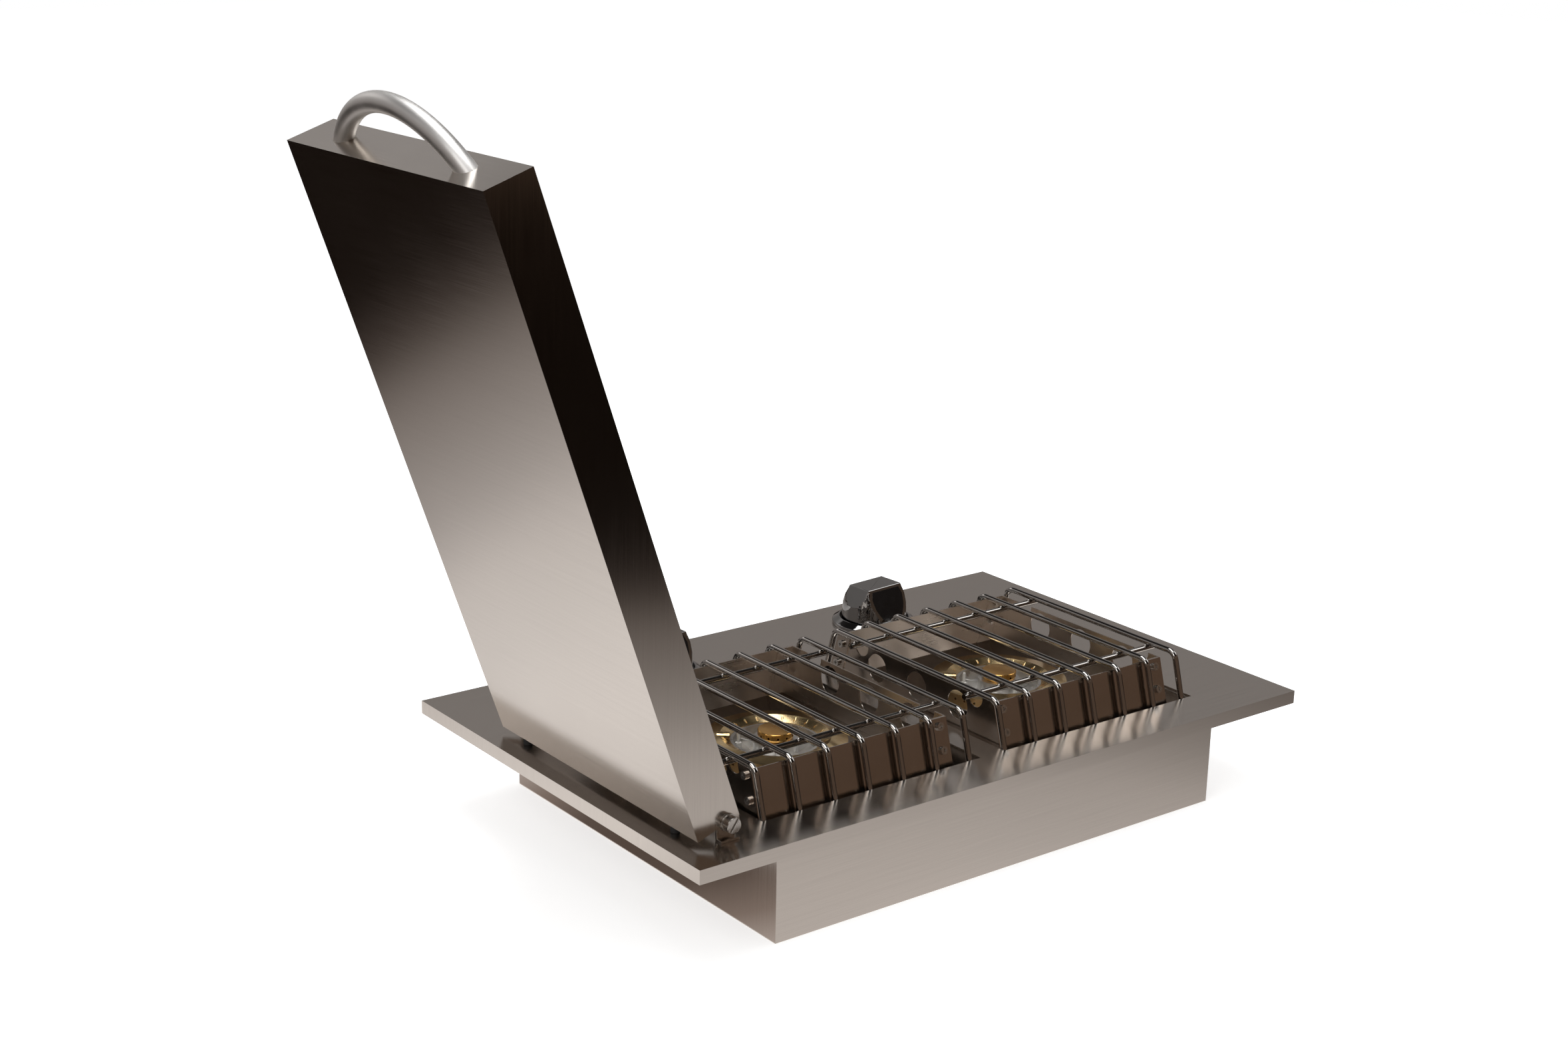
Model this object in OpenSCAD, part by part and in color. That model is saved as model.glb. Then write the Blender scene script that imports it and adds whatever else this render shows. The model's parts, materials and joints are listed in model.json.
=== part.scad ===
// Drop-in double side burner with a side-hinged lid.
// Frame: X along the long side toward the lid's free end, Y toward the control
// knobs, Z up. Origin at the middle of the underside of the drop box.
// The lid is drawn open, leaning back on its stops, as in the photograph.

/* [Plate] */
// Width of the plate outside the drop box, at each end
plate_side = 80; // [70:1:110]
// Width of the top plate
plate_width = 388.5; // [380:0.5:460]
// Height of the turned-down edge
plate_lip = 11.1; // [6:0.1:20]
// Thickness of the plate sheet
plate_sheet = 1.2; // [0.8:0.1:1.5]

/* [Drop box] */
// Distance from the openings to the outside of the box, at each end
box_side = 2.75; // [2.25:0.25:20]
// Outside width of the box below the plate
box_width = 353.5; // [345:0.5:360]
// Depth from the plate's top face to the underside of the box
box_depth = 86.3; // [84:0.1:140]
// Thickness of the box sheet
box_sheet = 1.2; // [0.8:0.1:1.5]
// Width of the box's welding flange under the plate
box_flange = 13; // [8:1:15]

/* [Burner bays] */
// Width of the plate between the two openings
bay_web = 24.5; // [20:0.5:40]
// Shift of the pair of bays along the plate
bays_shift_x = 1.25; // [1:0.25:1.5]
// Shift of the bays across the plate
bays_shift_y = -38.75; // [-39:0.25:-38.5]
// Distance from the guard to the edge of its opening, at each end
opening_side = 11.75; // [11.25:0.25:14]
// Distance from the rack legs to the edge of the opening
leg_room = 0.35; // [0.3:0.05:1]
// Shift of the guard inside the opening
hob_shift_x = -9.5; // [-9.5:0.25:-9]
// Shift of the burner from the guard's middle, along the plate
burner_shift_x = 2.1; // [0:0.1:3]
// Shift of the burner from the guard's middle, across the plate
burner_shift_y = -1.5; // [-2:0.1:0]
// Shift of the rack inside the opening
rack_shift_x = -3; // [-3:0.25:-2.5]

/* [Drip pan] */
// Depth of the pan floor below the plate's top face
pan_depth = 12; // [11.5:0.1:12.5]
// Thickness of the pan sheet
pan_sheet = 1; // [0.8:0.1:1.2]
// Side gap between pan and box wall
pan_gap = 0.1; // [0.05:0.05:0.2]
// Place of the pan's far wall across the plate
pan_far_y = 88.75; // [86:0.25:92]
// Diameter of the hole round each burner
pan_hole_d = 104; // [102:1:108]

/* [Wind guards] */
// Length of a guard
guard_length = 186.5; // [170:0.5:210]
// Width over the long panels at the top
guard_span = 193; // [190:0.2:194]
// Height of the guard above the plate
guard_height = 33.2; // [32:0.2:34.6]
// Sheet thickness of the guards
guard_sheet = 1; // [0.8:0.1:1.2]
// Width of the corner folds
guard_fold = 16; // [14:0.5:18]
// Diameter of the three side holes
side_hole_d = 24; // [20:0.5:26]
// Distance between the side holes
side_hole_pitch = 50; // [46:0.5:52]
// Height of the side holes above the plate
side_hole_z = 18.5; // [17:0.5:19]
// Shift of holes and notches from the guard's middle
side_shift_y = -5; // [-5.5:0.1:-4.5]
// Width of the rack notches
notch_width = 16.8; // [16.6:0.1:17.5]
// Distance between the two notches
notch_pitch = 141; // [140.8:0.1:141.2]
// Depth of a notch below the guard's top
notch_depth = 10; // [10:0.2:11]

/* [Guard screws] */
// Head diameter
guard_screw_head_d = 6.4; // [6:0.1:7]
// Head height
guard_screw_head_h = 2.2; // [1.8:0.1:2.6]
// Shank diameter
guard_screw_d = 3.5; // [3:0.1:4]
// Shank length
guard_screw_length = 5; // [4:0.5:6]
// Height of the upper screw above the plate
guard_screw_high = 27; // [25:0.5:27]
// Height of the lower screw above the plate
guard_screw_low = 9; // [7:0.5:11]
// Width and depth of the cross recess
cross_size = 3.2; // [2.5:0.1:3.6]
// Width of one arm of the cross recess
cross_arm = 0.8; // [0.6:0.1:1]
// Depth of the cross recess
cross_depth = 1.2; // [0.8:0.1:1.4]

/* [Wire racks] */
// Diameter of the rack wire
rod_d = 5; // [4.5:0.1:5.2]
// Number of long wires
rod_count = 7; // [5:1:7]
// Length of the row of rods beyond the guard
rack_over = 11.5; // [10:0.5:12]
// Height of the rods above the guard edges
rod_lift = 0.5; // [0.3:0.1:0.8]
// Gap between the rack legs and the guard faces
leg_gap = 2.5; // [2:0.1:2.6]
// Bend radius of the wire's centre line
rod_bend_r = 8.5; // [7:0.5:10]
// Place of the cross wires from the rack's middle
cross_wire_y = 71; // [70.5:0.5:71]
// Overhang of a cross wire past the outer long wires
cross_wire_over = 5; // [3:0.5:6]
// How far crossing wires sink into one another at the weld
weld_sink = 0.4; // [0.2:0.1:0.6]

/* [Burners] */
// Outside radius of the brass flame ring
ring_r = 56.6; // [55:0.2:58]
// Radius of the ring's crest
ring_crest_r = 43.5; // [42:0.5:45]
// Inside radius of the ring
ring_inner_r = 35.6; // [35.4:0.1:36]
// Height of the ring's outer rim above the plate
ring_rim_z = 5; // [4:0.5:6]
// Height of the ring's crest above the plate
ring_crest_z = 7; // [6:0.5:8]
// Height of the ring's inner edge above the plate
ring_inner_z = 3.5; // [3:0.5:4]
// Height of the ring's base below the plate
ring_base_depth = 6; // [5.5:0.5:7]
// Wall thickness of the ring
ring_wall = 2.4; // [2:0.1:2.8]
// Diameter of the flame ports
port_d = 1.8; // [1.5:0.1:2.2]
// Number of outer flame ports
outer_ports = 40; // [30:1:44]
// Number of inner flame ports
inner_ports = 24; // [18:1:26]
// Outside radius of the alloy bowl under the ring
bowl_r = 53.5; // [52:0.5:54]
// Depth of the alloy bowl below the plate
bowl_depth = 26; // [24:0.5:28]
// Height of the bowl's bright inner rim above the plate
bowl_rim_z = 3; // [2:0.5:3.5]
// Inner radius at the bright rim
bowl_rim_r = 33; // [32:0.5:33.5]
// Radius of the hub under the cap
hub_r = 17.5; // [16:0.5:18]
// Height of the hub above the plate
hub_z = 5; // [4:0.5:6]
// Radius of the mixing bore
mix_bore_r = 6; // [5:0.5:7]
// Number of ribs in the bowl
rib_count = 6; // [3:1:8]
// Thickness of a rib
rib_thick = 1.6; // [1.2:0.1:2]
// Diameter of the brass cap
cap_d = 28.5; // [27:0.5:30]
// Height of the brass cap
cap_height = 7; // [6:0.5:8]
// Number of ports round the cap
cap_ports = 12; // [8:1:16]

/* [Flame bridge] */
// Direction of the bridge from the burner's middle
bridge_angle = 142; // [120:1:160]
// Width of the bridge block
bridge_width = 9; // [8:0.5:10]
// Inner end of the bridge from the burner's middle
bridge_in_r = 35.7; // [35.6:0.1:36.5]
// Outer end of the bridge
bridge_out_r = 46; // [45:0.5:48]
// Height of the bridge top above the plate
bridge_z = 8; // [7.5:0.5:9]
// Diameter of the igniter's ceramic body
igniter_d = 5; // [4:0.5:6]
// Diameter of the igniter's metal tip
igniter_tip_d = 2.4; // [2:0.1:3]
// Place of the igniter from the burner's middle
igniter_r = 29; // [28:0.5:29.5]

/* [Burner stands] */
// Width of the stand strip
stand_width = 34; // [28:1:40]
// Length of the stand
stand_length = 92; // [80:1:100]
// Thickness of the stand sheet
stand_sheet = 1.5; // [1.2:0.1:2]
// Radius of the injector post
post_r = 9; // [8:0.5:10]
// Radius of the injector post's foot
post_foot_r = 15; // [13:0.5:18]
// Height of the post's foot
post_foot_h = 3; // [2:0.5:4]
// Depth of the post's top below the plate
post_top_depth = 46; // [44:0.5:48]
// Radius of the jet
jet_r = 3.5; // [3:0.1:4]
// Height of the jet over the post
jet_height = 9; // [7:0.5:10]
// Bore of the jet
jet_bore_d = 0.9; // [0.8:0.1:1.2]

/* [Gas line] */
// Outside diameter of the feed pipes
pipe_d = 8; // [6:0.5:8]
// Depth of the pipe's socket in the injector post
pipe_socket = 3; // [2:0.5:4]
// Bore of the feed pipes
pipe_bore = 6; // [4:0.5:6]
// Bend radius of the feed pipes
pipe_bend_r = 12; // [10:1:14]
// Depth of the pipe's upper run below the plate
pipe_high_depth = 31; // [30:0.5:32]
// Depth of the pipe's lower run below the plate
pipe_low_depth = 68; // [66:0.5:70]
// Distance of the pipe's drop from the valve
pipe_drop_at = 120; // [110:1:125]
// Diameter of the manifold tube
manifold_d = 16; // [14:0.5:18]
// Bore of the manifold tube
manifold_bore = 12; // [10:0.5:14]
// Depth of the manifold's axis below the plate
manifold_depth = 56; // [55:0.5:58]
// Overhang of the manifold past the left valve
manifold_over = 26; // [20:1:30]
// Outside diameter of the inlet thread
inlet_d = 20.9; // [20:0.1:22]
// Relief of the inlet's radius in the wall and the lock nut
inlet_relief = 0.35; // [0.2:0.05:0.5]
// Length of the inlet thread outside the box
inlet_length = 18; // [14:1:22]
// Bore of the inlet
inlet_bore = 12; // [10:0.5:13]
// Width across flats of the inlet's hexagon
inlet_hex = 27; // [25:1:30]
// Thickness of the inlet's hexagon and lock nut
inlet_nut_h = 6; // [5:0.5:8]

/* [Gas valves] */
// Length of the valve body along the plate
valve_x = 26; // [24:0.5:28]
// Width of the valve body
valve_y = 28; // [26:0.5:30]
// Depth of the valve body's underside below the plate
valve_bottom_depth = 42; // [41:0.5:43]
// Thickness of the valve's fixing flange
valve_flange_h = 3; // [2.5:0.5:4]
// Length of the valve's fixing flange
valve_flange_x = 52; // [48:1:56]
// Radius of the valve's pipe bosses
valve_boss_r = 7; // [6:0.5:8]
// Reach of the outlet boss from the valve's axis
valve_boss_reach = 20; // [18:0.5:22]
// Distance between the valve's screws
valve_screw_pitch = 40; // [38:1:42]
// Diameter of the valve's screws
valve_screw_d = 4; // [3.5:0.1:4.5]
// Head diameter of the valve's screws
valve_screw_head_d = 7; // [6.5:0.1:7.5]
// Head height of the valve's screws
valve_screw_head_h = 2.4; // [2:0.1:2.8]

/* [Control knobs] */
// Shift of the pair of knobs along the plate
knobs_shift_x = 6; // [5:0.25:7]
// Place of the knobs across the plate
knob_y = 138.75; // [138.5:0.25:141]
// Outside radius of the bezel
bezel_r = 37.5; // [36:0.5:37.5]
// Inside radius of the bezel
bezel_in_r = 30.8; // [30.4:0.1:31.2]
// Height of the bezel's outer wall
bezel_wall = 3; // [2:0.5:4]
// Height of the bezel's rim
bezel_rim = 6.5; // [5:0.5:7]
// Width of the flat on the bezel's rim
bezel_land = 1.2; // [0.8:0.1:1.6]
// Radius of the knob's base
knob_r = 29; // [28:0.1:29.4]
// Radius of the knob at mid height
knob_mid_r = 28.3; // [27:0.1:28.8]
// Radius of the knob at the top corners
knob_top_r = 23; // [22:0.1:24]
// Height of the knob's base above the plate
knob_base_z = 3.5; // [3.4:0.1:4]
// Height of the knob's top above the plate
knob_top_z = 36.3; // [34:0.1:38]
// Height of the knob's plain skirt
knob_skirt = 5; // [4:0.5:6]
// Length of the grip bar at the top
grip_length = 38.5; // [36:0.5:40]
// Thickness of the grip bar at the top
grip_thick = 24; // [20:0.5:26]
// Thickness of the grip bar at the skirt
grip_foot = 50; // [44:0.5:52]
// Thickness of the black face plates
inlay_thick = 1.6; // [1:0.1:2]
// Chrome margin round the face plates
inlay_margin = 2.4; // [1.6:0.1:3]
// Turn of the knobs as shown
knob_turn = 5; // [0:1:10]
// Push travel of the knobs
knob_travel = 2.5; // [2:0.1:2.5]
// Diameter of the spindle
spindle_d = 8; // [7.5:0.1:8.4]
// Depth of the spindle's end below the plate
spindle_depth = 20; // [18:0.5:22]
// Reach of the spindle into the knob above the plate
spindle_top_z = 24; // [22:0.5:26]
// Diameter of the plate hole round the spindle and spring
spindle_hole_d = 16; // [15.5:0.5:17]
// Radius of the hollow under the knob
knob_hollow_r = 13; // [12:0.5:15]
// Height of the hollow's ceiling above the plate
knob_hollow_z = 9.4; // [9.2:0.1:10]
// Outside radius of the spring seat washer
seat_r = 7.2; // [7:0.1:7.5]
// Thickness of the spring seat washer
seat_thick = 1; // [0.8:0.1:1.2]
// Outside radius of the return spring
spring_r = 6.6; // [6.4:0.1:7]
// Wire thickness of the return spring
spring_wire = 1.2; // [1:0.1:1.4]
// Thickness of the black shield disc
shield_thick = 0.6; // [0.4:0.1:0.6]
// Gap between shield disc and bezel
shield_gap = 0.2; // [0.1:0.1:0.4]

/* [Lid] */
// Length of the lid beyond the drop box
lid_over = 44.6; // [40:0.2:50]
// Width of the lid
lid_width = 263.5; // [262:0.5:264]
// Depth of the lid's walls
lid_depth = 37.7; // [37:0.1:38]
// Thickness of the lid sheet
lid_sheet = 1.2; // [0.8:0.1:1.2]
// Place of the lid's middle across the plate
lid_shift_y = -33; // [-33.5:0.25:-33]
// Lean of the open lid past upright
lid_lean = 19.27; // [19:0.01:20]
// Distance from the first opening to the pivot
pivot_side = 39; // [38:0.5:39.5]
// Height of the pivot above the plate
pivot_z = 13.6; // [13.5:0.1:14]
// Distance of the pivot from the lid's outer face
pivot_drop = 27.2; // [27:0.1:27.4]
// Radius of the rounded ears at the pivots
ear_r = 10; // [9:0.1:10.2]
// Length of the corner cut-outs in the hinge-end wall
ear_notch = 12; // [11:0.5:16]

/* [Lid handle] */
// Distance between the handle's feet
handle_span = 162; // [150:1:180]
// Rise of the handle's centre line
handle_rise = 34.5; // [30:0.5:40]
// Diameter of the handle bar
handle_d = 14.6; // [12:0.2:16]
// Shift of the handle from the middle of the end wall's depth
handle_shift = -0.4; // [-1:0.1:1]
// Distance between the handle screws
handle_screw_pitch = 154; // [145:1:158]
// Diameter of the handle screws
handle_screw_d = 5; // [4:0.5:5]
// Reach of the handle screws into the bar
handle_screw_reach = 6; // [5:0.5:7]

/* [Lid hinge] */
// Length of a hinge bracket
bracket_length = 16; // [15:0.5:18]
// Thickness of the bracket
bracket_sheet = 2; // [1.8:0.1:2.4]
// Reach of the bracket's foot outside the lid
bracket_reach = 3.5; // [2:0.5:5]
// Gap between lid wall and bracket
bracket_gap = 0.8; // [0.5:0.1:1]
// Height of the bracket's top over the pivot
bracket_over = 8; // [7:0.1:8.5]
// Diameter of the pivot screw
pivot_d = 6; // [5:0.1:6.5]
// Head diameter of the pivot screw
pivot_head_d = 12; // [10:0.5:13]
// Head height of the pivot screw
pivot_head_h = 6.5; // [5:0.5:7]
// Slot width in the head
slot_width = 1.8; // [1.4:0.1:2]
// Slot depth in the head
slot_depth = 2.4; // [1.6:0.1:3]
// Turn of the slot
slot_turn = 35; // [0:1:90]
// Diameter of the washer
washer_d = 13.6; // [12.5:0.1:14]
// Thickness of the washer
washer_thick = 1.3; // [1:0.1:1.6]
// Width across flats of the pivot nut
nut_flats = 10; // [9:0.5:11]
// Height of the pivot nut
nut_height = 5; // [4:0.5:6]
// Distance from the pivot to the lid stops
stop_side = 22.5; // [21.5:0.25:23]
// Distance between the lid stops
stop_pitch = 199; // [180:1:215]
// Diameter of a lid stop
stop_d = 7; // [6:0.5:8]
// Height of a lid stop above the plate
stop_height = 4.2; // [4:0.05:4.3]

/* [Clearances] */
// Gap between parts that rest on one another
rest_gap = 0.1; // [0.05:0.01:0.15]
// Radial clearance of a turning or sliding fit
run_clear = 0.06; // [0.03:0.01:0.1]
// Radial clearance of a screw in its hole
screw_clear = 0.15; // [0.05:0.05:0.25]
// Gap round fitted trim
trim_gap = 0.1; // [0.05:0.05:0.2]

/* [Quality] */
// Facets of large round shapes
fine = 96; // [48:8:160]
// Facets of small round shapes
coarse = 40; // [24:4:64]
// Facets of the flame ports
port_facets = 16; // [14:2:24]

/* [Hidden] */
cut = 1;
hex = 6;
quarter = 90;
eighth = 45;
half_turn = 180;
full_turn = 360;
SIDES = [-1, 1];
steel = [0.62, 0.60, 0.58];
polished = [0.42, 0.38, 0.35];
wire = [0.72, 0.70, 0.68];
brass = [0.80, 0.64, 0.34];
alloy = [0.72, 0.72, 0.73];
chrome = [0.80, 0.80, 0.81];
black = [0.04, 0.04, 0.04];
satin = [0.78, 0.76, 0.74];
ceramic = [0.90, 0.88, 0.84];

// Lengths along the plate, built up from the guards.
opening_length = guard_length + 2 * opening_side;
bay_pitch = opening_length + bay_web;
box_length = bay_pitch + opening_length + 2 * box_side;
plate_length = box_length + 2 * plate_side;
lid_length = box_length + lid_over;
pivot_x = bays_shift_x - (bay_pitch + opening_length) / 2 - pivot_side;
stop_x = pivot_x - stop_side;

// Levels are measured from the plate's top face.
plate_under = -plate_sheet;
box_floor = box_sheet - box_depth;
pan_under = -pan_depth - pan_sheet;
pan_length = box_length - 2 * box_sheet - 2 * pan_gap;
pan_near_y = pan_gap + box_sheet - box_width / 2;
pan_width = pan_far_y - pan_near_y;
pan_y = (pan_far_y + pan_near_y) / 2;

// Guard profile, measured outward from the guard's middle.
// The long panels run outward 7 for each 24 of drop, a slope of 25.
splay_out = 7;
splay_down = 24;
splay_slope = 25;
guard_splay = splay_out / splay_down;
splay_angle = atan(guard_splay);
splay_factor = splay_slope / splay_down;
guard_skin = guard_sheet * splay_factor;
guard_top_u = guard_span / 2;
guard_low_z = rest_gap / 2 - pan_depth;
guard_low_u = guard_top_u + guard_splay * (guard_height - guard_low_z);
notch_r = notch_width / 2;

// Rack wire path, measured outward from the rack's middle.
rod_r = rod_d / 2;
rod_z = guard_height + rod_lift + rod_r;
rod_pitch = (guard_length + rack_over) / (rod_count - 1);
leg_offset = (rod_r + leg_gap) * splay_factor;
rod_corner_u = guard_top_u + leg_offset - guard_splay * (rod_z - guard_height);
rod_bend = quarter - splay_angle;
rod_tangent = rod_bend_r * tan(rod_bend / 2);
rod_half = rod_corner_u - rod_tangent;
leg_start_z = rod_z - rod_bend_r * (1 - sin(splay_angle));
rod_end_depth = pan_depth - rest_gap - rod_r * sin(splay_angle);
leg_length = (leg_start_z + rod_end_depth) / cos(splay_angle);
leg_outer_u = rod_corner_u + guard_splay * (rod_z - plate_under) + rod_r * splay_factor;
opening_width = 2 * (leg_outer_u + leg_room);
cross_wire_z = rod_z - rod_d + weld_sink;
cross_wire_length = rod_pitch * (rod_count - 1) + rod_d + 2 * cross_wire_over;

// Burner stack.
cap_r = cap_d / 2;
cap_top_z = hub_z + cap_height;
bowl_foot_r = hub_r + ring_wall;
stand_top = -bowl_depth;
stand_under = stand_top - stand_sheet;
post_top = -post_top_depth;

// Gas line.
feed_dx = hob_shift_x + burner_shift_x + bays_shift_x - knobs_shift_x;
feed_dy = bays_shift_y + burner_shift_y - knob_y;
feed_span = sqrt(feed_dx * feed_dx + feed_dy * feed_dy);
feed_angle = atan2(feed_dy, feed_dx);
pipe_drop = pipe_low_depth - pipe_high_depth - 2 * pipe_bend_r;
pipe_low_run = feed_span - pipe_drop_at - 2 * pipe_bend_r - post_r + pipe_socket;
manifold_start = knobs_shift_x - bay_pitch / 2 - manifold_over;
manifold_end = box_length / 2 - box_sheet - inlet_nut_h;

// Knob.
seat_top_z = knob_hollow_z - rest_gap;
seat_under_z = seat_top_z - seat_thick;
valve_top = plate_under - rest_gap / 2;
grip_low_z = knob_base_z + knob_skirt;
knob_under_r = (valve_screw_pitch + valve_screw_head_d) / 2 + 2 * rest_gap;
knob_under_z = valve_screw_head_h + knob_travel + 2 * rest_gap;
grip_tilt = atan((grip_foot - grip_thick) / 2 / (knob_top_z - grip_low_z));
end_half = grip_length / 2;

// Lid.
lid_in_length = lid_length - 2 * lid_sheet;
lid_in_width = lid_width - 2 * lid_sheet;
web_y = lid_sheet + bracket_gap;
nut_y = web_y + bracket_sheet;
handle_r = handle_d / 2;
handle_arc_r = (handle_span * handle_span / 4 + handle_rise * handle_rise) / (2 * handle_rise);
handle_arc = 2 * asin(handle_span / 2 / handle_arc_r) + 2 * asin(handle_r / handle_arc_r);

echo("closed lid height over plate", pivot_z + pivot_drop);
echo("rack top over plate", rod_z + rod_r);
echo("opening width", opening_width);

module at_plate() {
    translate([0, 0, box_depth]) children();
}

module at_hob(side) {
    at_plate() translate([bays_shift_x + side * bay_pitch / 2 + hob_shift_x, bays_shift_y, 0]) children();
}

module at_burner(side) {
    at_hob(side) translate([burner_shift_x, burner_shift_y, 0]) children();
}

module at_rack(side) {
    at_plate() translate([bays_shift_x + side * bay_pitch / 2 + rack_shift_x, bays_shift_y, 0]) children();
}

module at_knob(side) {
    at_plate() translate([knobs_shift_x + side * bay_pitch / 2, knob_y, 0]) children();
}

// Children are drawn in the lid's own frame: X into the lid's depth, Z along
// its length, Y across it, origin on the hinge-end edge of the outer face.
module at_lid() {
    at_plate()
        translate([pivot_x, lid_shift_y, pivot_z])
            rotate([0, -lid_lean, 0])
                translate([-pivot_drop, 0, 0])
                    children();
}

// Children are drawn for the near lid wall, with y counted inward from its
// outer face, and repeated as a mirror image on the far wall.
module on_lid_walls() {
    for (dir = SIDES) {
        mirror([0, dir > 0 ? 1 : 0, 0])
            translate([0, -lid_width / 2, 0])
                children();
    }
}

module at_pivots() {
    at_plate() translate([pivot_x, lid_shift_y, pivot_z]) on_lid_walls() children();
}

module block(x, y, z, level) {
    translate([-x / 2, -y / 2, level]) cube([x, y, z]);
}

// Prism along X of a profile given as [outward, up] points.
module along_x(length, points) {
    rotate([quarter, 0, quarter])
        linear_extrude(height = length, center = true)
            polygon(points);
}

module turned(points) {
    rotate_extrude($fn = fine) polygon(points);
}

module toward(dir) {
    mirror([0, dir < 0 ? 1 : 0, 0]) children();
}

// Plate and box.
module valve_screw_spots() {
    for (dir = SIDES) {
        translate([dir * valve_screw_pitch / 2, 0, 0]) children();
    }
}

module top_plate() {
    color(steel) difference() {
        at_plate() block(plate_length, plate_width, plate_lip, -plate_lip);
        at_plate() block(
            plate_length - 2 * plate_sheet,
            plate_width - 2 * plate_sheet,
            plate_lip - plate_sheet + cut,
            -plate_lip - cut
        );
        for (side = SIDES) {
            at_plate()
                translate([bays_shift_x + side * bay_pitch / 2, bays_shift_y, 0])
                    block(opening_length, opening_width, plate_sheet + 2 * cut, -plate_sheet - cut);
            at_knob(side)
                translate([0, 0, -plate_sheet - cut])
                    cylinder(h = plate_sheet + 2 * cut, d = spindle_hole_d, $fn = coarse);
            at_knob(side) valve_screw_spots()
                translate([0, 0, -plate_sheet - cut])
                    cylinder(h = plate_sheet + 2 * cut, d = valve_screw_d + 2 * screw_clear, $fn = coarse);
        }
    }
}

module inlet_axis() {
    at_plate()
        translate([box_length / 2, knob_y, -manifold_depth])
            rotate([0, quarter, 0])
                children();
}

module drop_box() {
    color(steel) difference() {
        union() {
            at_plate() block(box_length, box_width, box_depth - plate_sheet, -box_depth);
            at_plate() block(
                box_length + 2 * box_flange,
                box_width + 2 * box_flange,
                box_sheet,
                plate_under - box_sheet
            );
        }
        at_plate() block(
            box_length - 2 * box_sheet,
            box_width - 2 * box_sheet,
            box_depth,
            box_floor
        );
        inlet_axis()
            translate([0, 0, -box_sheet - cut])
                cylinder(h = box_sheet + 2 * cut, d = inlet_d + 2 * screw_clear, $fn = coarse);
    }
}

module drip_pan() {
    color(steel) difference() {
        at_plate() translate([0, pan_y, 0])
            block(pan_length, pan_width, plate_under - box_sheet - pan_under, pan_under);
        at_plate() translate([0, pan_y, 0])
            block(pan_length - 2 * pan_sheet, pan_width - 2 * pan_sheet, pan_depth, -pan_depth);
        for (side = SIDES) {
            at_burner(side)
                translate([0, 0, pan_under - cut])
                    cylinder(h = pan_sheet + 2 * cut, d = pan_hole_d, $fn = fine);
        }
    }
}

// Wind guards.
// Children are placed with Z pointing out of the guard's outer face.
module long_screw_spots(dir, x) {
    for (z = [guard_screw_low, guard_screw_high]) {
        toward(dir)
            translate([x, guard_top_u + guard_splay * (guard_height - z), z])
                rotate([splay_angle - quarter, 0, 0])
                    children();
    }
}

module fold_screw_spots(dir) {
    for (z = [guard_screw_low, guard_screw_high]) {
        toward(dir)
            translate([-guard_length / 2, guard_top_u + guard_splay * (guard_height - z) - guard_fold / 2, z])
                rotate([0, -quarter, 0])
                    children();
    }
}

module guard_screw_spots(fold_dir) {
    long_screw_spots(-1, guard_length / 2 - guard_fold / 2) children();
    long_screw_spots(1, guard_length / 2 - guard_fold / 2) children();
    long_screw_spots(-fold_dir, guard_fold / 2 - guard_length / 2 + guard_sheet) children();
    fold_screw_spots(fold_dir) children();
}

module guard_screw_holes(fold_dir) {
    guard_screw_spots(fold_dir)
        translate([0, 0, -guard_screw_length])
            cylinder(h = guard_screw_length + cut, d = guard_screw_d + 2 * screw_clear, $fn = coarse);
}

module guard_long(side, dir, fold_dir) {
    start = guard_sheet * (dir == fold_dir ? 0 : 1);
    run = guard_length - start;
    color(polished) at_hob(side) difference() {
        union() {
            toward(dir) translate([start / 2, 0, 0]) along_x(run, [
                [guard_top_u, guard_height],
                [guard_low_u, guard_low_z],
                [guard_low_u - guard_skin, guard_low_z],
                [guard_top_u - guard_skin, guard_height]
            ]);
            if (dir == fold_dir) {
                toward(dir) translate([(guard_sheet - guard_length) / 2, 0, 0]) along_x(guard_sheet, [
                    [guard_top_u, guard_height],
                    [guard_low_u, guard_low_z],
                    [guard_low_u - guard_fold, guard_low_z],
                    [guard_top_u - guard_fold, guard_height]
                ]);
            }
        }
        guard_screw_holes(fold_dir);
    }
}

module side_cuts() {
    translate([0, side_shift_y, 0]) {
        for (i = [-1, 0, 1]) {
            translate([-guard_length, i * side_hole_pitch, side_hole_z])
                rotate([0, quarter, 0])
                    cylinder(h = 2 * guard_length, d = side_hole_d, $fn = fine);
        }
        for (dir = SIDES) {
            translate([0, dir * notch_pitch / 2, 0]) {
                translate([-guard_length, 0, guard_height - notch_depth + notch_r])
                    rotate([0, quarter, 0])
                        cylinder(h = 2 * guard_length, r = notch_r, $fn = fine);
                block(2 * guard_length, notch_width, notch_depth, guard_height - notch_depth + notch_r);
            }
        }
    }
}

// Web of a side panel, between the inner faces of the long panels.
module side_web() {
    top_u = guard_top_u - guard_skin;
    low_u = guard_low_u - guard_skin;
    along_x(guard_sheet, [
        [-low_u, guard_low_z],
        [low_u, guard_low_z],
        [top_u, guard_height],
        [-top_u, guard_height]
    ]);
}

// Inner flange of a side panel, lying behind a long panel.
module side_flange(dir) {
    top_u = guard_top_u - guard_skin;
    low_u = guard_low_u - guard_skin;
    toward(dir) along_x(guard_fold, [
        [top_u, guard_height],
        [low_u, guard_low_z],
        [low_u - guard_skin, guard_low_z],
        [top_u - guard_skin, guard_height]
    ]);
}

module guard_right(side, fold_dir) {
    color(polished) at_hob(side) difference() {
        union() {
            translate([(guard_length - guard_sheet) / 2, 0, 0]) side_web();
            for (dir = SIDES) {
                translate([(guard_length - guard_fold) / 2, 0, 0]) side_flange(dir);
            }
        }
        side_cuts();
        guard_screw_holes(fold_dir);
    }
}

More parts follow.
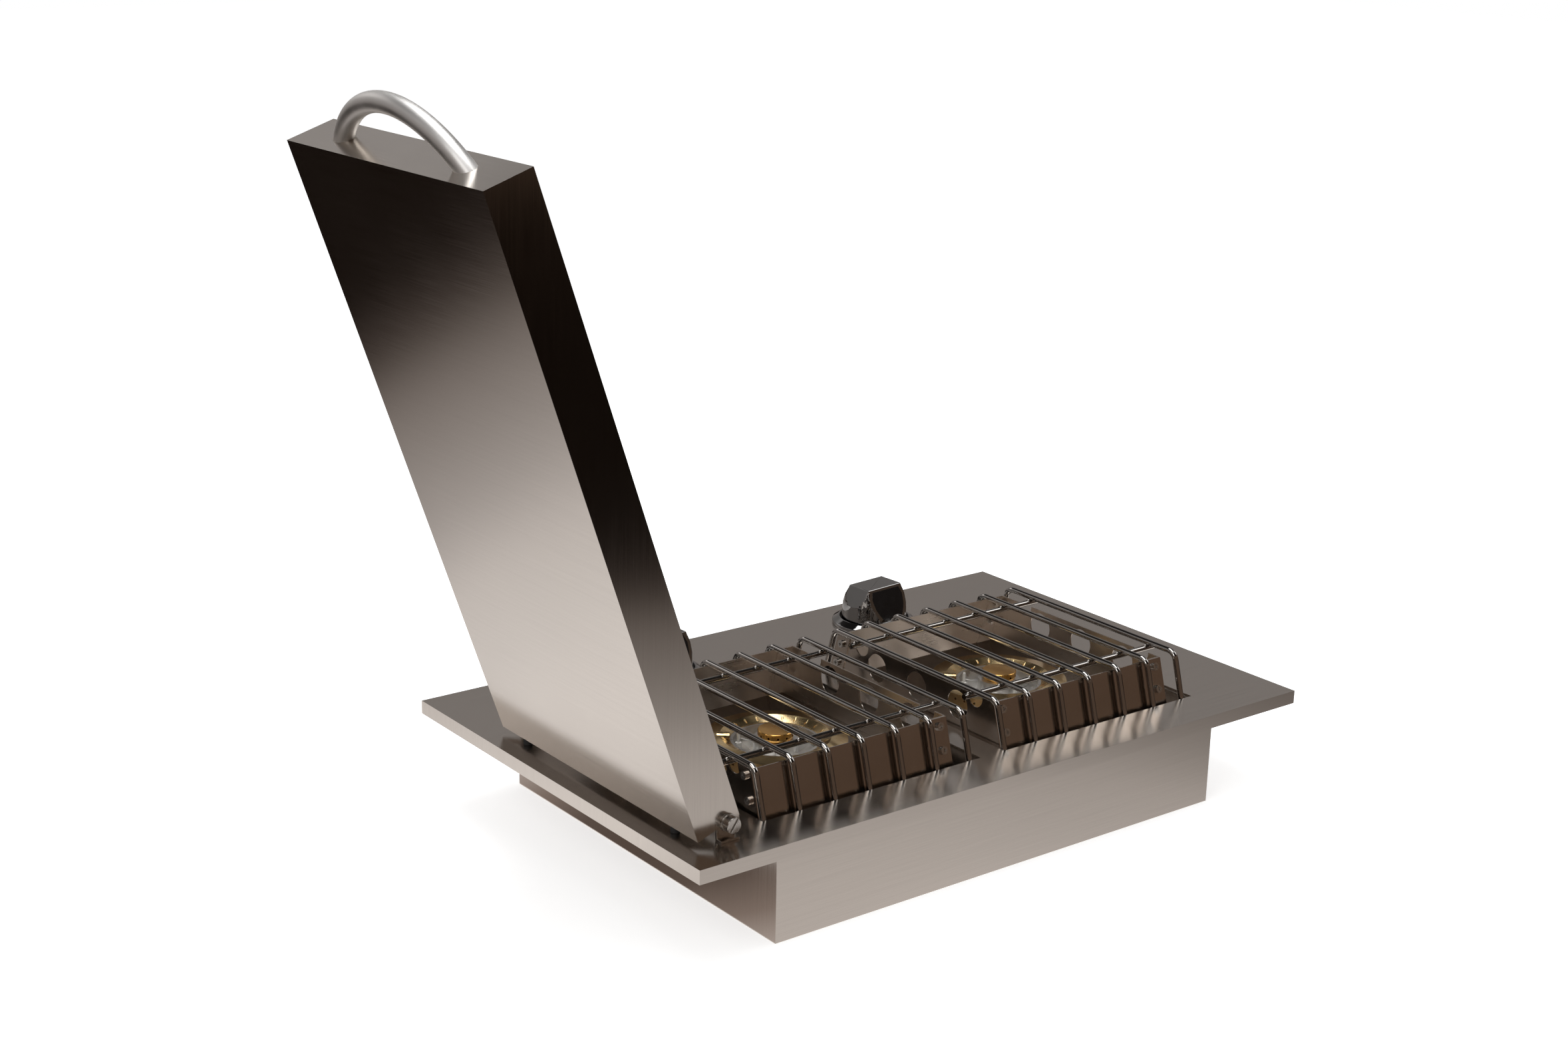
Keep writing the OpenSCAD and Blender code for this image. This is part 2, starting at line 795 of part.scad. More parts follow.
module guard_left(side, fold_dir) {
    color(polished) at_hob(side) difference() {
        union() {
            translate([(3 * guard_sheet - guard_length) / 2, 0, 0]) side_web();
            translate([guard_sheet - guard_length / 2 + guard_fold / 2, 0, 0]) side_flange(-fold_dir);
        }
        side_cuts();
        guard_screw_holes(fold_dir);
    }
}

module cross_recess(size, arm, depth) {
    block(size, arm, depth + cut, -depth);
    block(arm, size, depth + cut, -depth);
}

module guard_screws(side, fold_dir) {
    color(chrome) at_hob(side) guard_screw_spots(fold_dir) {
        difference() {
            union() {
                cylinder(h = guard_screw_head_h, d = guard_screw_head_d, $fn = coarse);
                translate([0, 0, -guard_screw_length])
                    cylinder(h = guard_screw_length + guard_screw_head_h / 2, d = guard_screw_d, $fn = coarse);
            }
            translate([0, 0, guard_screw_head_h]) cross_recess(cross_size, cross_arm, cross_depth);
        }
    }
}

// Wire racks.
module rod_side(dir) {
    toward(dir) rotate([quarter, 0, quarter]) {
        translate([0, rod_z, 0])
            rotate([0, quarter, 0])
                cylinder(h = rod_half, r = rod_r, $fn = coarse);
        translate([rod_half, rod_z - rod_bend_r, 0]) rotate([0, 0, splay_angle]) {
            rotate_extrude(angle = rod_bend, $fn = fine)
                translate([rod_bend_r, 0])
                    circle(r = rod_r, $fn = coarse);
            translate([rod_bend_r, 0, 0])
                rotate([quarter, 0, 0])
                    cylinder(h = leg_length, r = rod_r, $fn = coarse);
        }
    }
}

module rack(side) {
    color(wire) at_rack(side) {
        for (i = [0 : rod_count - 1]) {
            translate([(i - (rod_count - 1) / 2) * rod_pitch, 0, 0]) {
                rod_side(-1);
                rod_side(1);
            }
        }
        for (dir = SIDES) {
            translate([-cross_wire_length / 2, dir * cross_wire_y, cross_wire_z])
                rotate([0, quarter, 0])
                    cylinder(h = cross_wire_length, r = rod_r, $fn = coarse);
        }
    }
}

// Burners.
module bridge_axis() {
    rotate([0, 0, bridge_angle]) children();
}

module ring_of(count, r, z, lift, length) {
    for (i = [0 : count - 1]) {
        rotate([0, 0, i * full_turn / count])
            translate([r, 0, z])
                rotate([0, quarter - lift, 0])
                    cylinder(h = length, d = port_d, center = true, $fn = port_facets);
    }
}

module burner_ring(side) {
    color(brass) at_burner(side) difference() {
        turned([
            [ring_r - ring_wall, -ring_base_depth],
            [ring_r, -ring_base_depth],
            [ring_r, ring_rim_z],
            [ring_crest_r, ring_crest_z],
            [ring_inner_r, ring_inner_z],
            [ring_inner_r, -ring_base_depth],
            [ring_inner_r + ring_wall, -ring_base_depth],
            [ring_inner_r + ring_wall, ring_inner_z - ring_wall / 2],
            [ring_crest_r, ring_crest_z - ring_wall],
            [ring_r - ring_wall, ring_rim_z - ring_wall]
        ]);
        ring_of(outer_ports, ring_r, ring_rim_z - ring_wall - port_d, 0, 3 * ring_wall);
        ring_of(inner_ports, (ring_crest_r + ring_inner_r) / 2, (ring_crest_z + ring_inner_z) / 2, eighth, 3 * ring_wall);
        bridge_axis()
            translate([(bridge_in_r + bridge_out_r) / 2, 0, 0])
                block(
                    bridge_out_r - bridge_in_r + 2 * trim_gap,
                    bridge_width + 2 * trim_gap,
                    ring_crest_z + ring_base_depth + 2 * cut,
                    -ring_base_depth - cut
                );
    }
}

module igniter_axis() {
    bridge_axis() translate([igniter_r, 0, 0]) children();
}

module burner_bowl(side) {
    shelf_z = -ring_base_depth;
    collar_r = ring_inner_r - screw_clear;
    floor_z = shelf_z - 2 * ring_wall;
    color(alloy) at_burner(side) difference() {
        union() {
            turned([
                [mix_bore_r, -bowl_depth],
                [bowl_foot_r, -bowl_depth],
                [bowl_foot_r, floor_z - 3 * ring_wall],
                [bowl_r - 2 * ring_wall, floor_z - ring_wall],
                [bowl_r, shelf_z - ring_wall],
                [bowl_r, shelf_z],
                [collar_r, shelf_z],
                [collar_r, bowl_rim_z],
                [bowl_rim_r, bowl_rim_z],
                [bowl_rim_r - ring_wall, shelf_z],
                [hub_r + ring_wall, floor_z],
                [hub_r, shelf_z],
                [hub_r, hub_z],
                [mix_bore_r, hub_z]
            ]);
            for (i = [0 : rib_count - 1]) {
                rotate([0, 0, bridge_angle + (i + 1 / 2) * full_turn / rib_count])
                    translate([hub_r - rib_thick / 2, -rib_thick / 2, floor_z - ring_wall])
                        cube([bowl_rim_r - hub_r, rib_thick, shelf_z / 2 - floor_z + ring_wall]);
            }
        }
        igniter_axis()
            translate([0, 0, -bowl_depth - cut])
                cylinder(h = bowl_depth + 2 * cut, d = igniter_d + 2 * screw_clear, $fn = coarse);
    }
}

module burner_cap(side) {
    skirt_r = cap_r - ring_wall / 2;
    stem_r = mix_bore_r - screw_clear;
    color(brass) at_burner(side) difference() {
        turned([
            [0, hub_z - 2 * ring_wall],
            [stem_r, hub_z - 2 * ring_wall],
            [stem_r, hub_z],
            [skirt_r, hub_z],
            [cap_r, hub_z + cap_height / 3],
            [cap_r, cap_top_z - ring_wall / 4],
            [cap_r - ring_wall / 4, cap_top_z],
            [0, cap_top_z + ring_wall / 4]
        ]);
        translate([0, 0, hub_z - 3 * ring_wall])
            cylinder(h = 3 * ring_wall + cap_height / 2, r = stem_r - ring_wall / 2, $fn = coarse);
        ring_of(cap_ports, cap_r, hub_z + cap_height / 2, 0, 2 * cap_r - 2 * stem_r);
    }
}

module flame_bridge(side) {
    length = bridge_out_r - bridge_in_r;
    arch_r = bridge_width / 2;
    color(brass) at_burner(side) bridge_axis()
        translate([bridge_in_r, 0, 0])
            union() {
                translate([0, -arch_r, -ring_base_depth])
                    cube([length, bridge_width, bridge_z + ring_base_depth - arch_r]);
                translate([0, 0, bridge_z - arch_r])
                    rotate([0, quarter, 0])
                        cylinder(h = length, r = arch_r, $fn = coarse);
            }
}

module igniter(side) {
    foot_z = -bowl_depth;
    color(ceramic) at_burner(side) igniter_axis() {
        translate([0, 0, foot_z])
            cylinder(h = -foot_z, d = igniter_d, $fn = coarse);
        cylinder(h = ring_inner_z + 2 * ring_wall, d = igniter_tip_d, $fn = coarse);
    }
}

module burner_stand(side) {
    drop = stand_top - box_floor;
    color(steel) at_burner(side) difference() {
        block(stand_length, stand_width, drop, box_floor);
        block(stand_length - 2 * stand_sheet, stand_width + 2 * cut, drop - stand_sheet + cut, box_floor - cut);
        translate([0, 0, stand_under - cut])
            cylinder(h = stand_sheet + 2 * cut, r = mix_bore_r + ring_wall, $fn = coarse);
    }
}

module injector_post(side) {
    color(brass) at_burner(side) difference() {
        union() {
            translate([0, 0, box_floor]) cylinder(h = post_foot_h, r = post_foot_r, $fn = fine);
            translate([0, 0, box_floor]) cylinder(h = post_top - box_floor, r = post_r, $fn = fine);
        }
        translate([0, 0, -pipe_low_depth])
            cylinder(h = pipe_low_depth, d = pipe_bore, $fn = coarse);
        rotate([0, 0, feed_angle + half_turn])
            translate([0, 0, -pipe_low_depth])
                rotate([0, quarter, 0])
                    cylinder(h = post_foot_r, d = pipe_bore - run_clear, $fn = coarse);
        rotate([0, 0, feed_angle + half_turn])
            translate([post_r - pipe_socket, 0, -pipe_low_depth])
                rotate([0, quarter, 0])
                    cylinder(h = post_foot_r, d = pipe_d + 2 * run_clear, $fn = coarse);
    }
}

module jets() {
    stem_r = pipe_bore / 2 - run_clear;
    color(brass) for (side = SIDES) at_burner(side) difference() {
        turned([
            [0, post_top - jet_height / 2],
            [stem_r, post_top - jet_height / 2],
            [stem_r, post_top],
            [jet_r * 2, post_top],
            [jet_r * 2, post_top + jet_height / 3],
            [jet_r, post_top + jet_height / 2],
            [jet_r / 2, post_top + jet_height],
            [0, post_top + jet_height]
        ]);
        translate([0, 0, post_top - jet_height])
            cylinder(h = 3 * jet_height, d = jet_bore_d, $fn = port_facets);
    }
}

// Gas line. The pipe's own frame has X toward the burner.
module along_feed(side) {
    at_knob(side) rotate([0, 0, feed_angle]) children();
}

module pipe_ring() {
    difference() {
        circle(d = pipe_d, $fn = coarse);
        circle(d = pipe_bore, $fn = coarse);
    }
}

module feed_pipe(side) {
    color(alloy) along_feed(side) {
        translate([valve_boss_reach, 0, -pipe_high_depth])
            rotate([0, quarter, 0])
                linear_extrude(height = pipe_drop_at - valve_boss_reach) pipe_ring();
        translate([pipe_drop_at, 0, -pipe_high_depth - pipe_bend_r])
            rotate([quarter, 0, 0])
                rotate_extrude(angle = quarter, $fn = fine)
                    translate([pipe_bend_r, 0]) pipe_ring();
        translate([pipe_drop_at + pipe_bend_r, 0, -pipe_low_depth + pipe_bend_r])
            linear_extrude(height = pipe_drop) pipe_ring();
        translate([pipe_drop_at + 2 * pipe_bend_r, 0, -pipe_low_depth + pipe_bend_r])
            rotate([quarter, 0, 0])
                rotate([0, 0, half_turn])
                    rotate_extrude(angle = quarter, $fn = fine)
                        translate([pipe_bend_r, 0]) pipe_ring();
        translate([pipe_drop_at + 2 * pipe_bend_r, 0, -pipe_low_depth])
            rotate([0, quarter, 0])
                linear_extrude(height = pipe_low_run) pipe_ring();
    }
}

module gas_valve(side) {
    bore_d = spindle_d + 2 * run_clear;
    top = valve_top;
    neck = manifold_depth - valve_bottom_depth - manifold_bore / 2;
    color(brass) difference() {
        union() {
            at_knob(side) block(valve_x, valve_y, valve_bottom_depth + top, -valve_bottom_depth);
            at_knob(side) block(valve_flange_x, valve_y / 2, valve_flange_h, top - valve_flange_h);
            along_feed(side) translate([0, 0, -pipe_high_depth])
                rotate([0, quarter, 0])
                    cylinder(h = valve_boss_reach, r = valve_boss_r, $fn = coarse);
            at_knob(side) translate([0, 0, -valve_bottom_depth - neck])
                cylinder(h = neck + cut, r = pipe_d / 2, $fn = coarse);
        }
        at_knob(side) translate([0, 0, -spindle_depth - knob_travel - cut])
            cylinder(h = spindle_depth + knob_travel + 2 * cut, d = bore_d, $fn = coarse);
        at_knob(side) translate([0, 0, -valve_bottom_depth - neck - cut])
            cylinder(h = neck + valve_bottom_depth - pipe_high_depth + 2 * cut, d = pipe_bore, $fn = coarse);
        along_feed(side) translate([0, 0, -pipe_high_depth])
            rotate([0, quarter, 0])
                cylinder(h = valve_boss_reach + cut, d = pipe_bore, $fn = coarse);
        at_knob(side) valve_screw_spots()
            translate([0, 0, top - valve_flange_h - cut])
                cylinder(h = valve_flange_h + 2 * cut, d = valve_screw_d + 2 * screw_clear, $fn = coarse);
    }
}

module valve_screws() {
    shank = plate_sheet + valve_flange_h + 2 * plate_sheet;
    color(chrome) for (side = SIDES) at_knob(side) valve_screw_spots() {
        difference() {
            union() {
                cylinder(h = valve_screw_head_h, d = valve_screw_head_d, $fn = coarse);
                translate([0, 0, -shank])
                    cylinder(h = shank + valve_screw_head_h / 2, d = valve_screw_d, $fn = coarse);
            }
            translate([0, 0, valve_screw_head_h]) cross_recess(cross_size, cross_arm, cross_depth);
        }
    }
}

module manifold() {
    length = manifold_end - manifold_start;
    color(alloy) difference() {
        at_plate() translate([manifold_start, knob_y, -manifold_depth])
            rotate([0, quarter, 0])
                cylinder(h = length, d = manifold_d, $fn = coarse);
        at_plate() translate([manifold_start + plate_sheet, knob_y, -manifold_depth])
            rotate([0, quarter, 0])
                cylinder(h = length, d = manifold_bore, $fn = coarse);
        for (side = SIDES) {
            at_knob(side) translate([0, 0, -manifold_depth])
                cylinder(h = manifold_d, r = pipe_d / 2 + screw_clear, $fn = coarse);
        }
    }
}

module inlet_fitting() {
    spigot = 2 * inlet_nut_h;
    color(brass) inlet_axis() difference() {
        union() {
            translate([0, 0, -box_sheet - inlet_nut_h])
                cylinder(h = inlet_nut_h, d = inlet_hex / cos(half_turn / hex), $fn = hex);
            translate([0, 0, -box_sheet - inlet_nut_h])
                cylinder(h = 2 * inlet_nut_h + box_sheet, d = inlet_d - 2 * inlet_relief, $fn = coarse);
            translate([0, 0, inlet_nut_h])
                cylinder(h = inlet_length - inlet_nut_h, d = inlet_d, $fn = coarse);
            translate([0, 0, -box_sheet - inlet_nut_h - spigot])
                cylinder(h = spigot, d = manifold_bore - 2 * run_clear, $fn = coarse);
        }
        translate([0, 0, -box_sheet - inlet_nut_h - spigot - cut])
            cylinder(h = 2 * inlet_nut_h + spigot + cut, d = manifold_bore / 2, $fn = coarse);
        translate([0, 0, inlet_nut_h - cut])
            cylinder(h = inlet_length, d = inlet_bore, $fn = coarse);
    }
}

module inlet_nut() {
    color(brass) inlet_axis() difference() {
        cylinder(h = inlet_nut_h, d = inlet_hex / cos(half_turn / hex), $fn = hex);
        translate([0, 0, -cut])
            cylinder(h = inlet_nut_h + 2 * cut, d = inlet_d + 2 * run_clear, $fn = coarse);
    }
}

// Control knobs.
module knob_bezel(side) {
    color(chrome) at_knob(side) turned([
        [bezel_in_r, 0],
        [bezel_r, 0],
        [bezel_r, bezel_wall],
        [bezel_in_r + bezel_land, bezel_rim],
        [bezel_in_r, bezel_rim]
    ]);
}

module shield_disc(side) {
    color(black) at_knob(side) difference() {
        cylinder(h = shield_thick, r = bezel_in_r - shield_gap, $fn = fine);
        translate([0, 0, -cut])
            cylinder(h = shield_thick + 2 * cut, d = spindle_hole_d, $fn = coarse);
        valve_screw_spots()
            translate([0, 0, -cut])
                cylinder(h = shield_thick + 2 * cut, d = valve_screw_head_d + 2 * screw_clear, $fn = coarse);
    }
}

// Barrel of the knob, drawn in by the given margin.
module knob_barrel(margin) {
    mid_z = (knob_base_z + knob_top_z) / 2;
    shoulder_z = (mid_z + knob_top_z) / 2;
    shoulder_r = (2 * knob_mid_r + knob_top_r) / 3;
    turned([
        [0, knob_base_z + margin],
        [knob_r - margin, knob_base_z + margin],
        [knob_r - margin, grip_low_z],
        [knob_mid_r - margin, mid_z],
        [shoulder_r - margin, shoulder_z],
        [knob_top_r - margin, knob_top_z - margin],
        [0, knob_top_z - margin]
    ]);
}

// Slab on the grip's slanted face: z is out of the face, y down the face.
module on_grip_face(dir) {
    toward(dir)
        translate([0, grip_thick / 2, knob_top_z])
            rotate([grip_tilt - quarter, 0, 0])
                children();
}

module grip_cut(dir) {
    on_grip_face(dir)
        translate([-2 * knob_r, -2 * knob_r, 0])
            cube([4 * knob_r, 4 * knob_r, 2 * knob_r]);
}

module knob_form() {
    foot_half = knob_r + cut;
    mid_z = (knob_base_z + knob_top_z) / 2;
    difference() {
        intersection() {
            knob_barrel(0);
            rotate([quarter, 0, 0])
                linear_extrude(height = 3 * knob_r, center = true)
                    polygon([
                        [-foot_half, 0],
                        [foot_half, 0],
                        [foot_half, grip_low_z],
                        [knob_mid_r, mid_z],
                        [end_half, knob_top_z + cut],
                        [-end_half, knob_top_z + cut],
                        [-knob_mid_r, mid_z],
                        [-foot_half, grip_low_z]
                    ]);
        }
        intersection() {
            union() {
                grip_cut(-1);
                grip_cut(1);
            }
            block(3 * knob_r, 3 * knob_r, knob_top_z, grip_low_z);
        }
    }
}

// Face plate outline, sunk flush into the grip's slanted face.
module inlay_form(gap) {
    mid_z = (knob_base_z + knob_top_z) / 2;
    half_low = knob_mid_r - inlay_margin + gap;
    half_top = end_half - inlay_margin + gap;
    intersection() {
        knob_barrel(inlay_margin - gap);
        rotate([quarter, 0, 0])
            linear_extrude(height = 3 * knob_r, center = true)
                polygon([
                    [-half_low, grip_low_z + inlay_margin / 3 - gap],
                    [half_low, grip_low_z + inlay_margin / 3 - gap],
                    [half_low, mid_z],
                    [half_top, knob_top_z],
                    [-half_top, knob_top_z],
                    [-half_low, mid_z]
                ]);
        union() {
            for (dir = SIDES) {
                on_grip_face(dir)
                    translate([-2 * knob_r, -2 * knob_r, -inlay_thick - gap])
                        cube([4 * knob_r, 4 * knob_r, inlay_thick + gap + gap]);
            }
        }
    }
}

module knob(side) {
    color(chrome) at_knob(side) rotate([0, 0, knob_turn]) difference() {
        knob_form();
        inlay_form(trim_gap);
        translate([0, 0, knob_base_z - cut])
            cylinder(h = knob_under_z - knob_base_z + cut, r = knob_under_r, $fn = fine);
        translate([0, 0, knob_base_z - cut])
            cylinder(h = knob_hollow_z - knob_base_z + cut, r = knob_hollow_r, $fn = fine);
        translate([0, 0, knob_hollow_z - cut])
            cylinder(h = spindle_top_z - knob_hollow_z + cut, d = spindle_d + 2 * run_clear, $fn = coarse);
    }
}

module knob_inlays(side) {
    color(black) at_knob(side) rotate([0, 0, knob_turn]) inlay_form(0);
}

module spindle(side) {
    color(alloy) at_knob(side)
        translate([0, 0, -spindle_depth])
            cylinder(h = spindle_depth + spindle_top_z - rest_gap, d = spindle_d, $fn = coarse);
}

module spring_seat(side) {
    color(alloy) at_knob(side) difference() {
        translate([0, 0, seat_under_z]) cylinder(h = seat_thick, r = seat_r, $fn = coarse);
        translate([0, 0, seat_under_z - cut])
            cylinder(h = seat_thick + 2 * cut, d = spindle_d + 2 * run_clear, $fn = coarse);
    }
}

module return_spring(side) {
    low = valve_top + rest_gap / 2;
    color(alloy) at_knob(side) difference() {
        translate([0, 0, low])
            cylinder(h = seat_under_z - low - rest_gap / 2, r = spring_r, $fn = coarse);
        translate([0, 0, low - cut])
            cylinder(h = seat_under_z - low + 2 * cut, r = spring_r - spring_wire, $fn = coarse);
    }
}

// Lid.
module lid_shell() {
    color(steel) at_lid() difference() {
        union() {
            translate([0, -lid_width / 2, 0]) cube([lid_depth, lid_width, lid_length]);
            on_lid_walls()
                translate([pivot_drop, lid_sheet, 0])
                    rotate([quarter, 0, 0])
                        cylinder(h = lid_sheet, r = ear_r, $fn = fine);
        }
        translate([lid_sheet, -lid_in_width / 2, lid_sheet])
            cube([lid_depth, lid_in_width, lid_in_length]);
        on_lid_walls() {
            translate([lid_sheet, lid_sheet, -cut])
                cube([lid_depth, ear_notch, lid_sheet + 2 * cut]);
            translate([pivot_drop, lid_sheet + cut, 0])
                rotate([quarter, 0, 0])
                    cylinder(h = lid_sheet + 2 * cut, d = pivot_d + 2 * run_clear, $fn = coarse);
        }
        handle_screw_spots()
            translate([0, 0, -lid_sheet - cut])
                cylinder(h = lid_sheet + 2 * cut, d = handle_screw_d + 2 * screw_clear, $fn = coarse);
    }
}

module handle_middle() {
    translate([lid_depth / 2 + handle_shift, 0, lid_length]) children();
}

module handle_screw_spots() {
    for (dir = SIDES) {
        handle_middle() translate([0, dir * handle_screw_pitch / 2, 0]) children();
    }
}

module lid_handle() {
    color(satin) at_lid() difference() {
        intersection() {
            handle_middle()
                translate([0, 0, handle_rise - handle_arc_r])
                    rotate([quarter, 0, quarter])
                        rotate([0, 0, quarter - handle_arc / 2])
                            rotate_extrude(angle = handle_arc, $fn = 2 * fine)
                                translate([handle_arc_r, 0])
                                    circle(r = handle_r, $fn = coarse);
            handle_middle() block(2 * handle_d, 2 * handle_span, 2 * handle_rise, 0);
        }
        handle_screw_spots()
            translate([0, 0, -cut])
                cylinder(h = handle_screw_reach + cut, d = handle_screw_d + 2 * run_clear, $fn = coarse);
    }
}

module handle_screws() {
    head_h = handle_screw_d / 2;
    color(chrome) at_lid() handle_screw_spots() {
        translate([0, 0, -lid_sheet])
            cylinder(h = lid_sheet + handle_screw_reach - rest_gap, d = handle_screw_d, $fn = coarse);
        translate([0, 0, -lid_sheet - head_h])
            cylinder(h = head_h, d = 2 * handle_screw_d, $fn = coarse);
    }
}

// Hinge. Children of at_pivots sit on the pivot, y counted inward.
module hinge_brackets() {
    foot_width = bracket_reach + web_y + bracket_sheet;
    color(steel) at_pivots() difference() {
        union() {
            translate([-bracket_length / 2, -bracket_reach, -pivot_z])
                cube([bracket_length, foot_width, bracket_sheet]);
            translate([-bracket_length / 2, web_y, -pivot_z])
                cube([bracket_length, bracket_sheet, pivot_z]);
            translate([0, web_y + bracket_sheet, 0])
                rotate([quarter, 0, 0])
                    cylinder(h = bracket_sheet, r = bracket_over, $fn = fine);
        }
        translate([0, web_y + bracket_sheet + cut, 0])
            rotate([quarter, 0, 0])
                cylinder(h = bracket_sheet + 2 * cut, d = pivot_d + 2 * run_clear, $fn = coarse);
    }
}

module pivot_screws() {
    reach = nut_y + nut_height + pivot_d / 2 + washer_thick;
    color(chrome) at_pivots() difference() {
        union() {
            translate([0, -washer_thick, 0])
                rotate([quarter, 0, 0])
                    cylinder(h = pivot_head_h, d = pivot_head_d, $fn = coarse);
            translate([0, reach - washer_thick, 0])
                rotate([quarter, 0, 0])
                    cylinder(h = reach, d = pivot_d, $fn = coarse);
        }
        translate([0, -washer_thick - pivot_head_h, 0])
            rotate([0, slot_turn, 0])
                translate([-slot_width / 2, -cut, -pivot_head_d])
                    cube([slot_width, slot_depth + cut, 2 * pivot_head_d]);
    }
}

module pivot_washers() {
    color(chrome) at_pivots() difference() {
        translate([0, -rest_gap, 0])
            rotate([quarter, 0, 0])
                cylinder(h = washer_thick - rest_gap, d = washer_d, $fn = coarse);
        translate([0, cut, 0])
            rotate([quarter, 0, 0])
                cylinder(h = washer_thick + 2 * cut, d = pivot_d + 2 * run_clear, $fn = coarse);
    }
}

module pivot_nuts() {
    color(chrome) at_pivots() difference() {
        translate([0, nut_y + nut_height, 0])
            rotate([quarter, 0, 0])
                cylinder(h = nut_height, d = nut_flats / cos(half_turn / hex), $fn = hex);
        translate([0, nut_y + nut_height + cut, 0])
            rotate([quarter, 0, 0])
                cylinder(h = nut_height + 2 * cut, d = pivot_d + 2 * run_clear, $fn = coarse);
    }
}

module lid_stops() {
    color(black) at_plate() for (dir = SIDES) {
        translate([stop_x, lid_shift_y + dir * stop_pitch / 2, 0])
            cylinder(h = stop_height, d = stop_d, $fn = coarse);
    }
}

top_plate();
drop_box();
drip_pan();
lid_stops();
hinge_brackets();
pivot_screws();
pivot_washers();
pivot_nuts();
lid_shell();
lid_handle();
handle_screws();
guard_long(-1, -1, -1);  // guard_near_a
guard_long(-1, 1, -1);  // guard_far_a
guard_left(-1, -1);  // guard_left_a
guard_right(-1, -1);  // guard_right_a
guard_screws(-1, -1);  // guard_screws_a
guard_long(1, -1, 1);  // guard_near_b
guard_long(1, 1, 1);  // guard_far_b
guard_left(1, 1);  // guard_left_b
guard_right(1, 1);  // guard_right_b
guard_screws(1, 1);  // guard_screws_b
rack(-1);  // rack_a
rack(1);  // rack_b
burner_ring(-1);  // burner_ring_a
burner_bowl(-1);  // burner_bowl_a
burner_cap(-1);  // burner_cap_a
flame_bridge(-1);  // flame_bridge_a
igniter(-1);  // igniter_a
burner_ring(1);  // burner_ring_b
burner_bowl(1);  // burner_bowl_b
burner_cap(1);  // burner_cap_b
flame_bridge(1);  // flame_bridge_b
igniter(1);  // igniter_b
burner_stand(-1);  // burner_stand_a
injector_post(-1);  // injector_post_a
jets();
feed_pipe(-1);  // feed_pipe_a
burner_stand(1);  // burner_stand_b
injector_post(1);  // injector_post_b
valve_screws();
feed_pipe(1);  // feed_pipe_b
manifold();
inlet_fitting();
inlet_nut();
gas_valve(-1);  // gas_valve_a
knob_bezel(-1);  // knob_bezel_a
shield_disc(-1);  // shield_disc_a
knob(-1);  // knob_a
knob_inlays(-1);  // knob_inlays_a
spindle(-1);  // spindle_a
spring_seat(-1);  // spring_seat_a
return_spring(-1);  // return_spring_a
gas_valve(1);  // gas_valve_b
knob_bezel(1);  // knob_bezel_b
shield_disc(1);  // shield_disc_b
knob(1);  // knob_b
knob_inlays(1);  // knob_inlays_b
spindle(1);  // spindle_b
spring_seat(1);  // spring_seat_b
return_spring(1);  // return_spring_b
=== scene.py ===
"""Finishes and fine parts of a two-burner drop-in hob with a hinged lid, laid out as a Blender add-on."""

import json
import math

import bpy
from mathutils import Matrix, Vector


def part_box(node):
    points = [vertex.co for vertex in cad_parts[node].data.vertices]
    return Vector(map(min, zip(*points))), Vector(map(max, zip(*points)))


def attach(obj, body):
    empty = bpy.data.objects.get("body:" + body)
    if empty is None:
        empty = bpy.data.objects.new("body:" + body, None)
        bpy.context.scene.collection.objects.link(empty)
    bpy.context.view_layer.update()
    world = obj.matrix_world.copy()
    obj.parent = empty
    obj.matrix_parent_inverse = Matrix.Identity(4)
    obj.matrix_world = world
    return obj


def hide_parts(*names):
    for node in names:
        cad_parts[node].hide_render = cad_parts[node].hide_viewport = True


bl_info = {
    "name": "Drop-in hob dresser",
    "version": (1, 0, 0),
    "blender": (4, 5, 0),
    "location": "View3D > Sidebar > Hob",
    "description": "Gives the packed hob its folded edges, welds, metal finishes and studio",
    "category": "Object",
}

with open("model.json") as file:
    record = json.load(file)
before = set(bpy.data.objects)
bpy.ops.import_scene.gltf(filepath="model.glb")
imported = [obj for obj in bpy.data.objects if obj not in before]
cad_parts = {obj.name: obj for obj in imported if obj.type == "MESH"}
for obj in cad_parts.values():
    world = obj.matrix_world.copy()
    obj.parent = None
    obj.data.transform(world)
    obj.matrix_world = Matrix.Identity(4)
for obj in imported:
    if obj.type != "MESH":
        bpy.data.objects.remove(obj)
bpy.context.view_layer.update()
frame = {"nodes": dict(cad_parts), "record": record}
BODY_OF = {
    node: body
    for body, nodes in frame["record"]["behaviour"]["bodies"].items()
    for node in nodes
}
MM = 0.001
SIDES = ("a", "b")
LENGTHWISE = (1, 0, 0)
CROSSWISE = (0, 1, 0)

# Each rack has seven rods along Y that lie on two wires along X, which keep this far from its middle
ROD_PITCH = 33 * MM
ROD_RADIUS = 2.5 * MM
WIRE_OFFSET = 71 * MM

# A weld bead stands out from its rod by a share of its radius, sinks below it, and is a little flat
BEAD_CLEAR = 0.4
BEAD_SINK = 0.2 * MM
BEAD_SHAPE = (1.0, 0.85, 0.9)

# Folds of the thinner sheets, as shares of the plate's fold radius
PAN_FOLD = 0.8
BRACKET_FOLD = 0.7
GUARD_FOLD = 0.6

# Points of a CAD mesh closer than this are one point, and faces flatter than this in degrees one face
MERGE_GAP = 0.002 * MM
FLAT_ANGLE = 0.3

# Shading stays smooth this many degrees past the angle that is bevelled
SMOOTH_MARGIN = 5

# The grip of a knob starts at a share of its height, and its outer edges are sharper than an angle
SKIRT_SHARE = 0.4
OUTER_ANGLE = 25
OUTER_GAP = 0.03 * MM
GRIP_MERGE_GAP = 0.04 * MM


# Sizes and colours that a user may change

